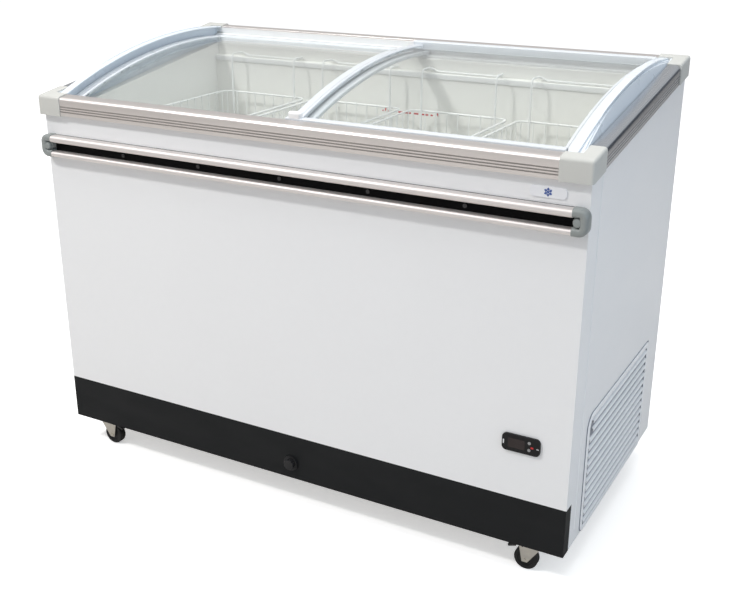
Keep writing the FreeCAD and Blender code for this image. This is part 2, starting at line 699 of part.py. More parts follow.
def lid_handles():
    """A round knob on the upper lid's front bar and a low pull on the lower lid's."""
    knob_h = 11.0
    knob_x = UPPER_IN_X + 20.0
    knob_s = -UPPER_S + UPPER_BAR_W / 2
    reach = 7.0
    points = rectangle(knob_x - 15.0, knob_x + 15.0, knob_s - reach, knob_s + reach)
    knob = along_z(points, UPPER_BAR_N[1], UPPER_BAR_N[1] + knob_h, {0: 6.5, 1: 6.5, 2: 6.5, 3: 6.5})
    top_edges = [edge for edge in knob.Edges if edge.BoundBox.ZMin > UPPER_BAR_N[1] + knob_h - 0.1]
    knob = knob.makeFillet(3.0, top_edges)
    save("right_lid_handle", on_deck(knob))
    pull_x = -LID_OUT_X + STILE_W
    pull = box(pull_x, pull_x + 60.0, -LOWER_S + 8.0, -LOWER_S + 15.0, LOWER_BAR_N[1], LOWER_BAR_N[1] + 3.8)
    save("left_lid_handle", on_deck(pull))


# Bumper and badge ---------------------------------------------------------------------------------

def screw_places():
    return [SCREW_PITCH * (i - 2) - 5.0 for i in range(5)]


def bumper():
    channel_front = FRONT_Y - CHANNEL_T
    channel = box(-BUMPER_X, BUMPER_X, channel_front, FRONT_Y, *BUMPER_Z)
    screws = []
    for x in screw_places():
        hole = cylinder(SCREW_R + 0.1, V(x, channel_front - 1, SCREW_Z), Y_AXIS, 10)
        channel = channel.cut(hole)
        head = cylinder(SCREW_HEAD_R, V(x, channel_front - 2.2, SCREW_Z), Y_AXIS, 2.2)
        head = head.cut(box(x - 3, x + 3, channel_front - 3, channel_front - 1.4, SCREW_Z - 0.5, SCREW_Z + 0.5))
        head = head.cut(box(x - 0.5, x + 0.5, channel_front - 3, channel_front - 1.4, SCREW_Z - 3, SCREW_Z + 3))
        shank = cylinder(SCREW_R, V(x, channel_front, SCREW_Z), Y_AXIS, 14)
        screws.append(head.fuse(shank))
    save("bumper_channel", channel)
    save("bumper_screws", *screws)
    for node, low, high, edge in (("bumper_upper_rail", UPPER_RAIL_BOTTOM_Z, BUMPER_Z[1], 7.0),
                                  ("bumper_lower_rail", BUMPER_Z[0], LOWER_RAIL_TOP_Z, 5.2)):
        points = [(BUMPER_FRONT_Y, low), (channel_front, low), (channel_front, high), (BUMPER_FRONT_Y, high)]
        save(node, along_x(points, -BUMPER_X, BUMPER_X, {0: edge, 3: edge}))


def bumper_end_caps():
    over = 1.5
    low = BUMPER_Z[0] - over
    high = BUMPER_Z[1] + over
    points = [(BUMPER_X, low), (BUMPER_CAP_X, low), (BUMPER_CAP_X, high), (BUMPER_X, high)]
    cap = along_y(points, BUMPER_FRONT_Y, FRONT_Y, {1: 11.0, 2: 11.0})
    front_edges = [edge for edge in cap.Edges
                   if edge.BoundBox.YMax < BUMPER_FRONT_Y + 0.1 and edge.BoundBox.XMax > BUMPER_X + 1]
    cap = cap.makeFillet(4.0, front_edges)
    ring_x = (BUMPER_X + BUMPER_CAP_X) / 2
    ring_z = (low + high) / 2
    start = V(ring_x, BUMPER_FRONT_Y - 1, ring_z)
    groove = cylinder(9.0, start, Y_AXIS, 2.5).cut(cylinder(7.0, start, Y_AXIS, 2.5))
    cap = cap.cut(groove)
    save("bumper_end_caps", cap, mirrored(cap))


def name_badge():
    points = rectangle(515.0, 583.0, 783.0, 803.0)
    save("name_badge", along_y(points, FRONT_Y - 2.0, FRONT_Y, {0: 8.0, 1: 8.0, 2: 8.0, 3: 8.0}))


# Controller ---------------------------------------------------------------------------------------

def controller():
    left = CTRL_X - CTRL_HALF_W
    right = CTRL_X + CTRL_HALF_W
    low = CTRL_Z - CTRL_HALF_H
    high = CTRL_Z + CTRL_HALF_H
    front = FRONT_Y - 4.5
    bezel = along_y(rectangle(left, right, low, high), front, FRONT_Y, {0: 9.0, 1: 9.0, 2: 9.0, 3: 9.0})
    body = box(CTRL_X - 35.5, CTRL_X + 35.5, FRONT_Y, FRONT_Y + 58.0, CTRL_Z - 14.2, CTRL_Z + 14.2)
    case = bezel.fuse(body).removeSplitter()
    window = along_y(rectangle(CTRL_X - 26.0, CTRL_X + 8.0, CTRL_Z - 10.0, CTRL_Z + 10.0),
                     front - 0.3, front + 1.0, {0: 2.0, 1: 2.0, 2: 2.0, 3: 2.0})
    case = case.cut(window)
    for name, z in zip(("controller_down_button", "controller_up_button"), BUTTON_Z):
        start = V(BUTTON_X, front - 1.0, z)
        case = case.cut(cylinder(BUTTON_R + BUTTON_CLEAR, start, Y_AXIS, 7.0))
        save(name, cylinder(BUTTON_R, V(BUTTON_X, front - 0.8, z), Y_AXIS, 4.8))
    save("controller_case", case)
    save("controller_window", window)


# Compressor bay -----------------------------------------------------------------------------------

COMP_X = 515.0
COMP_Y = 115.0
COMP_R = 72.0
COMP_H = 160.0
COMP_SHOULDER = 18.0
COMP_WALL = 14.0
FAN_X = 520.0
FAN_Z = 174.0
FAN_R = 72.0
SHAFT_R = 4.0


def capsule(radius, low, high, shoulder):
    """Body of revolution with coned shoulders, the upper one twice as large."""
    profile = [V(0, 0, low), V(radius - shoulder, 0, low), V(radius, 0, low + shoulder),
               V(radius, 0, high - 2 * shoulder), V(radius - 2 * shoulder, 0, high), V(0, 0, high), V(0, 0, low)]
    return Part.Face(Part.makePolygon(profile)).revolve(V(0, 0, 0), Z_AXIS, 360)


def compressor():
    """Sealed shell on a cross plate, with its terminal cover. The thick wall also stands for the pump inside."""
    low = PAN_TOP_Z + 26.0
    high = low + COMP_H
    shell = capsule(COMP_R, low, high, COMP_SHOULDER)
    shell = shell.cut(capsule(COMP_R - COMP_WALL, low + COMP_WALL, high - COMP_WALL, COMP_SHOULDER))
    shell = moved(shell, COMP_X, COMP_Y)
    plate_z = PAN_TOP_Z + 12.0
    plate = box(COMP_X - 80, COMP_X + 80, COMP_Y - 55, COMP_Y + 55, plate_z, plate_z + 2.5)
    neck = cylinder(40.0, V(COMP_X, COMP_Y, plate_z + 2.5), Z_AXIS, low - plate_z - 2.5)
    grommets = []
    for dx in (-68.0, 68.0):
        for dy in (-43.0, 43.0):
            place = V(COMP_X + dx, COMP_Y + dy, PAN_TOP_Z)
            grommets.append(cylinder(11.0, place, Z_AXIS, 12.0).cut(cylinder(4.0, place, Z_AXIS, 12.0)))
            plate = plate.cut(cylinder(4.0, V(place.x, place.y, plate_z), Z_AXIS, 3.0))
    cover_x = COMP_X - COMP_R
    cover = box(cover_x - 26, cover_x + 3, COMP_Y - 26, COMP_Y + 26, low + 45, low + 110)
    cover = cover.cut(cylinder(COMP_R + FIT_GAP, V(COMP_X, COMP_Y, low), Z_AXIS, 160))
    save("compressor", shell.fuse(plate).fuse(neck).removeSplitter(), cover)
    save("compressor_grommets", *grommets)


COND_X = (440.0, 600.0)
COND_Y = (-268.0, -222.0)
COND_Z = (PAN_TOP_Z + 4.0, PAN_TOP_Z + 202.0)
COND_TUBES = 6
COND_TUBE_PITCH = 31.0


def condenser():
    """Finned coil with cross tubes between two end plates, and the fan's shroud behind it."""
    fin_pitch = 8.0
    fins = int((COND_X[1] - COND_X[0]) / fin_pitch)
    coil = box(COND_X[0], COND_X[1], COND_Y[0], COND_Y[1], COND_Z[0], COND_Z[0] + 2)
    coil = coil.fuse(box(COND_X[0], COND_X[1], COND_Y[0], COND_Y[1], COND_Z[1] - 2, COND_Z[1]))
    plates = []
    for i in range(fins + 1):
        x = COND_X[0] + fin_pitch * i
        plates.append(box(x - 0.5, x + 0.5, COND_Y[0], COND_Y[1], COND_Z[0], COND_Z[1]))
    for row in (COND_Y[0] + 12, COND_Y[1] - 12):
        for i in range(COND_TUBES):
            z = COND_Z[0] + 20 + COND_TUBE_PITCH * i
            plates.append(cylinder(4.0, V(COND_X[0] - 6, row, z), X_AXIS, COND_X[1] - COND_X[0] + 12))
    shroud_y = COND_Y[1] + FIT_GAP
    shroud = box(COND_X[0], COND_X[1], shroud_y, shroud_y + 1.5, COND_Z[0], COND_Z[1])
    shroud = shroud.cut(cylinder(FAN_R + 4, V(FAN_X, shroud_y - 1, FAN_Z), Y_AXIS, 4))
    save("condenser", coil.multiFuse(plates), shroud)


def fan():
    blade_y = COND_Y[1] + 6.0
    motor_y = blade_y + 22.0
    motor = cylinder(30.0, V(FAN_X, motor_y, FAN_Z), Y_AXIS, 45.0)
    motor = motor.cut(cylinder(SHAFT_R + SHAFT_CLEAR, V(FAN_X, motor_y - 1, FAN_Z), Y_AXIS, 13.0))
    bracket_y = motor_y + 45.0
    upright = box(FAN_X - 14, FAN_X + 14, bracket_y, bracket_y + 2, PAN_TOP_Z, FAN_Z + 20)
    foot = box(FAN_X - 14, FAN_X + 14, bracket_y - 30, bracket_y, PAN_TOP_Z, PAN_TOP_Z + 2)
    save("fan_motor", motor, upright.fuse(foot).removeSplitter())
    hub = cylinder(17.0, V(FAN_X, blade_y, FAN_Z), Y_AXIS, 15.0)
    shaft = cylinder(SHAFT_R, V(FAN_X, blade_y, FAN_Z), Y_AXIS, motor_y - blade_y + 10.0)
    rotor = hub.fuse(shaft)
    for i in range(5):
        blade = box(-15.0, 15.0, -0.8, 0.8, 14.0, FAN_R - 1)
        blade.rotate(V(0, 0, 0), Z_AXIS, 26)
        blade = moved(blade, FAN_X, blade_y + 7.5, FAN_Z)
        blade.rotate(V(FAN_X, 0, FAN_Z), Y_AXIS, 72.0 * i)
        rotor = rotor.fuse(blade)
    save("fan_blade", rotor.removeSplitter())


def refrigerant_pipes():
    """Discharge line to the condenser, and suction line down from the evaporator."""
    radius = 3.2
    bend = 12.0
    low = COND_Z[0] + 20.0
    row = COND_Y[1] - 12.0
    left = COND_X[0] - 16.0
    wall_y = COMP_Y - COMP_R - 0.5
    discharge = tube([V(COMP_X, wall_y, 150), V(COMP_X, 20, 150), V(left, 20, 150), V(left, row, 150),
                      V(left, row, low), V(COND_X[0] - 6.2, row, low)], radius, bend * 0.35)
    back = BACK_Y - 30.0
    side = COMP_X + 60.0
    start = COMP_Y + COMP_R + 0.5
    suction = tube([V(COMP_X, start, 150), V(COMP_X, back, 150), V(side, back, 150), V(side, back, BAY_Z - 1.0)],
                   radius, bend)
    save("refrigerant_pipes", discharge, suction)


# Drain plug, casters and baskets ------------------------------------------------------------------

def drain_plug():
    stem = cylinder(DRAIN_R - PLUG_CLEAR, V(DRAIN_X, FRONT_Y - 0.3, DRAIN_Z), Y_AXIS, 16.0)
    head = cylinder(17.0, V(DRAIN_X, FRONT_Y - 5.3, DRAIN_Z), Y_AXIS, 5.0)
    grip = cylinder(12.0, V(DRAIN_X, FRONT_Y - 13.3, DRAIN_Z), Y_AXIS, 8.0)
    rim = [edge for edge in grip.Edges if edge.BoundBox.YMax < FRONT_Y - 13.0]
    grip = grip.makeFillet(2.0, rim)
    notches = 8
    plug = stem.fuse(head).fuse(grip)
    for i in range(notches):
        angle = 2 * math.pi * i / notches
        x = DRAIN_X + 13.0 * math.cos(angle)
        z = DRAIN_Z + 13.0 * math.sin(angle)
        plug = plug.cut(cylinder(2.4, V(x, FRONT_Y - 14, z), Y_AXIS, 8.5))
    save("drain_plug", plug.removeSplitter())


def caster_corners():
    return {
        "front_left": (-CASTER_X, CASTER_FRONT_Y, 1, True),
        "front_right": (CASTER_X, CASTER_FRONT_Y, -1, True),
        "rear_left": (-CASTER_X, CASTER_BACK_Y, 1, False),
        "rear_right": (CASTER_X, CASTER_BACK_Y, -1, False),
    }


def bolt_places():
    """Centres of the caster bolts, four to a plate."""
    places = []
    for x, y, _, _ in caster_corners().values():
        for dx in (-BOLT_DX, BOLT_DX):
            for dy in (-BOLT_DY, BOLT_DY):
                places.append(V(x + dx, y + dy, 0))
    return places


def caster_bolt(place):
    head_z = BASE_Z - PLATE_T - 3.8
    corners = [(place.x + 4.4 * math.cos(math.pi * i / 3), place.y + 4.4 * math.sin(math.pi * i / 3))
               for i in range(6)]
    head = along_z(corners, head_z, BASE_Z - PLATE_T)
    shank = cylinder(BOLT_R, V(place.x, place.y, BASE_Z - PLATE_T), Z_AXIS, PLATE_T + PAN_T)
    return head.fuse(shank)


def caster_plate(x, y):
    """Bolted plate with its bearing race and the riveted kingpin."""
    top = BASE_Z
    plate = along_z(rectangle(x - 30, x + 30, y - 25, y + 25), top - PLATE_T, top, {0: 6.0, 1: 6.0, 2: 6.0, 3: 6.0})
    race_z = FORK_TOP_Z + 0.4
    race = cylinder(13.0, V(x, y, race_z), Z_AXIS, top - PLATE_T - race_z)
    pin = cylinder(KINGPIN_R, V(x, y, 57.5), Z_AXIS, 8.0)
    head = cylinder(7.0, V(x, y, 57.0), Z_AXIS, 2.0)
    plate = plate.fuse(race).fuse(pin).fuse(head).removeSplitter()
    for place in bolt_places():
        plate = plate.cut(cylinder(BOLT_R + 0.1, V(place.x, place.y, top - 5), Z_AXIS, 10))
    return plate


def fork_body(direction):
    """Fork at the origin, trailing towards direction (+1 or -1) along X."""
    d = direction
    out = FORK_IN_HALF + FORK_T
    crown = box(-17.0, 17.0, -out, out, 60.4, FORK_TOP_Z)
    side = [(-14.0 * d, FORK_TOP_Z), (-14.0 * d, 58.0), (12.5 * d, 19.0), (24.0 * d, 19.0), (31.0 * d, 52.0),
            (31.0 * d, FORK_TOP_Z)]
    if d < 0:
        side.reverse()
    cheek = along_y(side, FORK_IN_HALF, out)
    hole = cylinder(AXLE_R + 0.02, V(TRAIL * d, FORK_IN_HALF - 1, WHEEL_R), Y_AXIS, 5)
    pivot = cylinder(PIVOT_R + SHAFT_CLEAR, V(PIVOT_X * d, FORK_IN_HALF - 1, PIVOT_Z), Y_AXIS, 5)
    cheek = cheek.cut(hole).cut(pivot)
    other = cheek.mirror(V(0, 0, 0), Y_AXIS)
    bore = cylinder(KINGPIN_R + SHAFT_CLEAR, V(0, 0, 50), Z_AXIS, 20)
    body = crown.fuse(cheek).fuse(other).removeSplitter().cut(bore)
    length = 2 * out + 4.0
    axle = cylinder(AXLE_R, V(TRAIL * d, -length / 2, WHEEL_R), Y_AXIS, length)
    return [body, axle]


def wheel(direction):
    """Wheel with a rounded tread, a raised hub and a bore for the axle."""
    half = WHEEL_HALF_W
    x = TRAIL * direction
    rim = cylinder(WHEEL_R, V(x, -half, WHEEL_R), Y_AXIS, 2 * half)
    tread = [edge for edge in rim.Edges if edge.BoundBox.YLength < 0.1]
    rim = rim.makeFillet(3.0, tread)
    recess = cylinder(17.0, V(x, half - 2.0, WHEEL_R), Y_AXIS, 3.0)
    rim = rim.cut(recess).cut(recess.mirror(V(0, 0, 0), Y_AXIS))
    hub = cylinder(7.0, V(x, -half - 1.0, WHEEL_R), Y_AXIS, 2 * half + 2.0)
    bore = cylinder(AXLE_R + SHAFT_CLEAR, V(x, -20, WHEEL_R), Y_AXIS, 40)
    return rim.fuse(hub).removeSplitter().cut(bore)


def pedal(direction):
    """Brake pedal: a cross pin between the cheeks, an arm and a wide pad past the wheel."""
    d = direction
    out = FORK_IN_HALF + FORK_T
    pin = cylinder(PIVOT_R, V(PIVOT_X * d, -out - 0.5, PIVOT_Z), Y_AXIS, 2 * out + 1.0)
    arm_half = FORK_IN_HALF - 0.5
    points = [(20.0 * d, 52.6), (34.0 * d, 52.6), (52.0 * d, 47.0), (54.0 * d, 50.5), (34.0 * d, 57.5),
              (20.0 * d, 57.5)]
    if d < 0:
        points.reverse()
    arm = along_y(points, -arm_half, arm_half)
    pad = [(37.0 * d, 52.0), (53.0 * d, 46.6), (55.0 * d, 50.6), (37.0 * d, 57.0)]
    if d < 0:
        pad.reverse()
    plate = along_y(pad, -15.0, 15.0)
    return arm.fuse(plate).fuse(pin).removeSplitter()


def casters():
    plates = []
    for name, (x, y, direction, braked) in caster_corners().items():
        plates.append(caster_plate(x, y))
        save("caster_fork_" + name, *[moved(piece, x, y) for piece in fork_body(direction)])
        save("caster_wheel_" + name, moved(wheel(direction), x, y))
        if braked:
            save("brake_pedal_" + name, moved(pedal(direction), x, y))
    save("caster_plates", *plates)
    save("caster_bolts", *[caster_bolt(place) for place in bolt_places()])


def lattice(width, height, plane_thickness, rim):
    """Flat wire panel in (x, z), from its lower left corner, with a heavier top bar."""
    panel = box(0, width, 0, plane_thickness, 0, height)
    columns = round(width / MESH_W)
    rows = max(2, round(height / MESH_H))
    pitch = (width - BASKET_BAR) / columns
    row_pitch = (height - rim) / rows
    holes = []
    for i in range(columns):
        for j in range(rows):
            x = BASKET_BAR + pitch * i
            z = BASKET_BAR + row_pitch * j
            holes.append(box(x, x + pitch - BASKET_BAR, -1, plane_thickness + 1, z, z + row_pitch - BASKET_BAR))
    return panel.cut(Part.makeCompound(holes))


def basket_at_zero():
    """Basket with its left side at x = 0: five wire panels, then a hook at the front and one at the back."""
    y0, y1 = BASKET_Y
    z0, z1 = BASKET_Z
    bar = BASKET_BAR
    end = lattice(BASKET_W - 2 * bar, z1 - z0, bar, BASKET_RIM)
    side = lattice(y1 - y0, z1 - z0, bar, BASKET_RIM)
    side.rotate(V(0, 0, 0), Z_AXIS, 90)
    bottom = lattice(BASKET_W - 2 * bar, y1 - y0 - 2 * bar, bar, bar)
    bottom.rotate(V(0, 0, 0), X_AXIS, -90)
    bottom = moved(bottom, bar, y0 + bar, z0 + bar)
    pieces = [moved(end, bar, y0, z0), moved(end, bar, y1 - bar, z0), moved(side, bar, y0, z0),
              moved(side, BASKET_W, y0, z0), bottom]
    left = HOOK_INSET
    right = BASKET_W - HOOK_INSET
    front_rail = LINER_FRONT_Y - 3.0 - HOOK_BAR
    back_rail = LINER_BACK_Y + 3.0
    hooks = ((y0, front_rail, LINER_FRONT_Y), (y1 - HOOK_BAR, back_rail, back_rail + HOOK_BAR))
    for post_y, rail_y, rest_y in hooks:
        z = deck_height(rest_y, LEDGE_N) + HOOK_CLEAR
        top = z + HOOK_BAR
        arm_y = sorted((post_y, rail_y))
        for x in (left, right - HOOK_BAR):
            pieces.append(box(x, x + HOOK_BAR, post_y, post_y + HOOK_BAR, z1, top))
            pieces.append(box(x, x + HOOK_BAR, arm_y[0] + HOOK_BAR, arm_y[1], z, top))
        pieces.append(box(left, right, rail_y, rail_y + HOOK_BAR, z, top))
    return pieces


def baskets():
    pieces = basket_at_zero()
    for i in range(4):
        x = BASKET_LEFT + BASKET_PITCH * i
        save("basket_" + str(i + 1), *[moved(piece, x) for piece in pieces])


def main():
    os.makedirs("parts", exist_ok=True)
    front_panel()
    side_panels()
    vent_grille()
    back_panel()
    cord_gland()
    base_pan()
    kick_plate()
    foam_and_core()
    front_rim()
    rear_rim()
    side_rims()
    corner_caps()
    lid_rails()
    end_arches()
    lids()
    lid_handles()
    bumper()
    bumper_end_caps()
    name_badge()
    controller()
    compressor()
    condenser()
    fan()
    refrigerant_pipes()
    drain_plug()
    casters()
    baskets()


main()
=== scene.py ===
import json
import math

import bmesh
import bpy
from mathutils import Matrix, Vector

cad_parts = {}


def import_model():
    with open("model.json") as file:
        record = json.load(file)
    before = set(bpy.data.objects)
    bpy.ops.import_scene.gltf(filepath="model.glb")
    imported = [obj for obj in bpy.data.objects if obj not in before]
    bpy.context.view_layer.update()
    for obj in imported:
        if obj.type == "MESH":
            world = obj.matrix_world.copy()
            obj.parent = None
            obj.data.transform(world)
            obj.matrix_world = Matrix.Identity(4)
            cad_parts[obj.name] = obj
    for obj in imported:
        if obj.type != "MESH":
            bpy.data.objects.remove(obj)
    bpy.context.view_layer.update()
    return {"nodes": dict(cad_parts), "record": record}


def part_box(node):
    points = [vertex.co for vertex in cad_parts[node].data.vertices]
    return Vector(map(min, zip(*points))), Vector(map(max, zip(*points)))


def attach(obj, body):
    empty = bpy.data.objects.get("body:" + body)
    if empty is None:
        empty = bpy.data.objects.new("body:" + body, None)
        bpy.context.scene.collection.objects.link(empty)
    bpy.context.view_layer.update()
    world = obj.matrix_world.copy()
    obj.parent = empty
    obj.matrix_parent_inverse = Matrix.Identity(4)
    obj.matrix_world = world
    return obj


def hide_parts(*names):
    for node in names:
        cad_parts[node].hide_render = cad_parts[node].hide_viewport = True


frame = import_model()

# Looks of a glass-top chest freezer. Metres; +X right seen from the front, +Y back, +Z up.

X = Vector((1, 0, 0))
Y = Vector((0, 1, 0))

# The deck is the sloping plane of the rim: s runs back along it and n stands up from it.
DECK_ANGLE = math.radians(8.5)
DECK_ORIGIN = Vector((0, 0.004, 0.9057))
DECK_S = Vector((0, math.cos(DECK_ANGLE), math.sin(DECK_ANGLE)))
DECK_N = Vector((0, -math.sin(DECK_ANGLE), math.cos(DECK_ANGLE)))

# Lids
LID_R = 1.300                # outside of the upper lid's frame
LID_TOP_N = 0.024
LID_AXIS_N = LID_TOP_N - LID_R
LOWER_DROP = 0.0135
FRAME_T = 0.008
STILE_W = 0.025
UPPER_S = 0.289
UPPER_BAR_W = 0.015
UPPER_BAR_N = (-0.017, 0.002)
UPPER_BAR_END_X = 0.568      # short of the arch's cover strip
BRUSH_S = 0.255              # short of the lower lid's pull, which passes in front of it
LOWER_S = 0.280
LOWER_BAR_W = 0.016
LOWER_BAR_N = (-0.028, -0.0185)

# Baskets
BASKET_FRONT_Y = -0.215
BASKET_BACK_Y = 0.225
BASKET_RIM_Z = 0.800
BASKET_W = 0.249
BASKET_CORNER_R = 0.025
BASKET_FOOT_R = 0.012
WIRE_R = 0.00125
HEAVY_R = 0.0024
WIRE_PITCH = 0.028
HOOK_INSET = 0.032
LEDGE_N = -0.062             # the ledge that the hooks rest on

# Rim, corner caps and arches
RIM_HEIGHT = 0.0395
RIM_EDGE_R = 0.0095
RIM_INNER_S = 0.292
RIM_INNER_X = 0.601
RIM_LEG = 0.020
RIM_GROOVES = 3
RIM_GROOVE_UP = 0.0075       # lowest groove, from the face's lower edge
RIM_GROOVE_PITCH = 0.0054
RIM_GROOVE_DEPTH = 0.0018
RIM_WALL = 0.0025
RIM_LIP_Y = (-0.301, 0.316)  # ends of the front and rear lips under the face
RIM_LIP_X = 0.626
CAP_INNER_X = 0.569
CAP_INNER_Y = 0.246
CAP_PROUD = 0.0015
CAP_HEIGHT = 0.042
ARCH_R = 1.309               # outside of the arches' cover strips
ARCH_OUT_X = 0.600
ARCH_WALL_X = 0.586
ARCH_STRIP_X = (0.5722, 0.5914)
ARCH_FOOT_N = -0.046
ARCH_LIP_S = (-0.165, 0.238)
VENT_SLATS = 13

LINER_HALF_W = 0.5645
LINER_BACK_Y = 0.255
LINER_FRONT_Y = -0.240


def deck(x, s, n):
    return DECK_ORIGIN + X * x + DECK_S * s + DECK_N * n


def on_deck_at(x, y, n):
    """Point at x and y that stands n above the deck."""
    return deck(x, (y - DECK_ORIGIN.y + n * DECK_S.z) / DECK_S.y, n)


def deck_z(y, n=0.0):
    """Height above y of the plane that stands n above the deck."""
    return DECK_ORIGIN.z + (y - DECK_ORIGIN.y) * math.tan(DECK_ANGLE) + n / math.cos(DECK_ANGLE)


# Mesh helpers -------------------------------------------------------------------------------------

def rounded(points, radius, steps=5, closed=False):
    """Polyline whose corners are arcs; radius is one number, or one for each point."""
    points = [Vector(p) for p in points]
    count = len(points)
    radii = radius if isinstance(radius, (list, tuple)) else [radius] * count
    line = []
    for i, corner in enumerate(points):
        if radii[i] == 0 or (not closed and i in (0, count - 1)):
            line.append(corner)
            continue
        before = (points[i - 1] - corner).normalized()
        after = (points[(i + 1) % count] - corner).normalized()
        half = before.angle(after) / 2
        centre = corner + (before + after).normalized() * radii[i] / math.sin(half)
        start = corner + before * radii[i] / math.tan(half) - centre
        end = corner + after * radii[i] / math.tan(half) - centre
        line.extend(centre + start.slerp(end, k / steps).normalized() * radii[i] for k in range(steps + 1))
    return line


def new_object(name, mesh, look, body, sharp=35):
    mesh.materials.append(look)
    mesh.shade_smooth()
    mesh.set_sharp_from_angle(angle=math.radians(sharp))
    piece = bpy.data.objects.new(name, mesh)
    bpy.context.scene.collection.objects.link(piece)
    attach(piece, body)
    return piece


def mesh_of(name, build):
    """Mesh that build(bm) fills, with its faces turned outwards."""
    bm = bmesh.new()
    build(bm)
    bmesh.ops.remove_doubles(bm, verts=bm.verts, dist=1e-6)
    bmesh.ops.recalc_face_normals(bm, faces=bm.faces)
    mesh = bpy.data.meshes.new(name)
    bm.to_mesh(mesh)
    bm.free()
    return mesh


def skin(node, build, look, sharp=35):
    """Piece on the cabinet that takes a CAD node's place."""
    piece = new_object(node + "_skin", mesh_of(node, build), look, "root", sharp)
    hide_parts(node)


def add_loft(bm, loops, closed=False):
    """Solid through loops of points; a closed one joins its last loop to its first."""
    rings = [[bm.verts.new(p) for p in loop] for loop in loops]
    count = len(rings[0])
    pairs = list(zip(rings, rings[1:]))
    if closed:
        pairs.append((rings[-1], rings[0]))
    else:
        bm.faces.new(rings[0])
        bm.faces.new(rings[-1])
    for a, b in pairs:
        for k in range(count):
            j = (k + 1) % count
            bm.faces.new((a[k], a[j], b[j], b[k]))


def add_sweep(bm, path, side, profile, closed=False):
    """Solid along path. A profile point is (across, up), with up square to both side and path."""
    loops = []
    last = len(path) - 1
    for i, point in enumerate(path):
        after = path[(i + 1) % len(path)] if closed else path[min(i + 1, last)]
        before = path[i - 1] if closed else path[max(i - 1, 0)]
        up = side.cross(after - before).normalized()
        loops.append([point + side * p[0] + up * p[1] for p in profile])
    add_loft(bm, loops, closed)


def add_turned(bm, centre, rings, steps=32):
    """Turned solid on an axis along Y through centre; rings are (radius, y) from back to front."""
    loops = []
    turn = [2 * math.pi * i / steps for i in range(steps)]
    for radius, y in rings:
        hub = Vector((centre.x, y, centre.z))
        loops.append([hub + Vector((math.cos(a), 0, math.sin(a))) * radius for a in turn])
    add_loft(bm, loops)


def rounded_box(low, high, radius, steps=3):
    """2-D rectangle with round corners, as (across, up) points."""
    corners = [(low[0], low[1], 0), (high[0], low[1], 0), (high[0], high[1], 0), (low[0], high[1], 0)]
    return rounded(corners, radius, steps, closed=True)


def wires(name, lines, radius, look, body):
    """Round bars along polylines, as one mesh. A line whose ends meet is a closed ring."""
    data = bpy.data.curves.new(name, "CURVE")
    data.dimensions = "3D"
    data.bevel_depth = radius
    data.bevel_resolution = 2
    data.use_fill_caps = True
    for line in lines:
        ring = (line[0] - line[-1]).length < 1e-6
        points = line[:-1] if ring else line
        spline = data.splines.new("POLY")
        spline.points.add(len(points) - 1)
        for point, place in zip(spline.points, points):
            point.co = (*place, 1)
        spline.use_cyclic_u = ring
    holder = bpy.data.objects.new(name + "_line", data)
    mesh = bpy.data.meshes.new_from_object(holder)
    mesh.name = name
    bpy.data.objects.remove(holder)
    mesh.materials.clear()
    return new_object(name, mesh, look, body, sharp=60)


# Materials ----------------------------------------------------------------------------------------

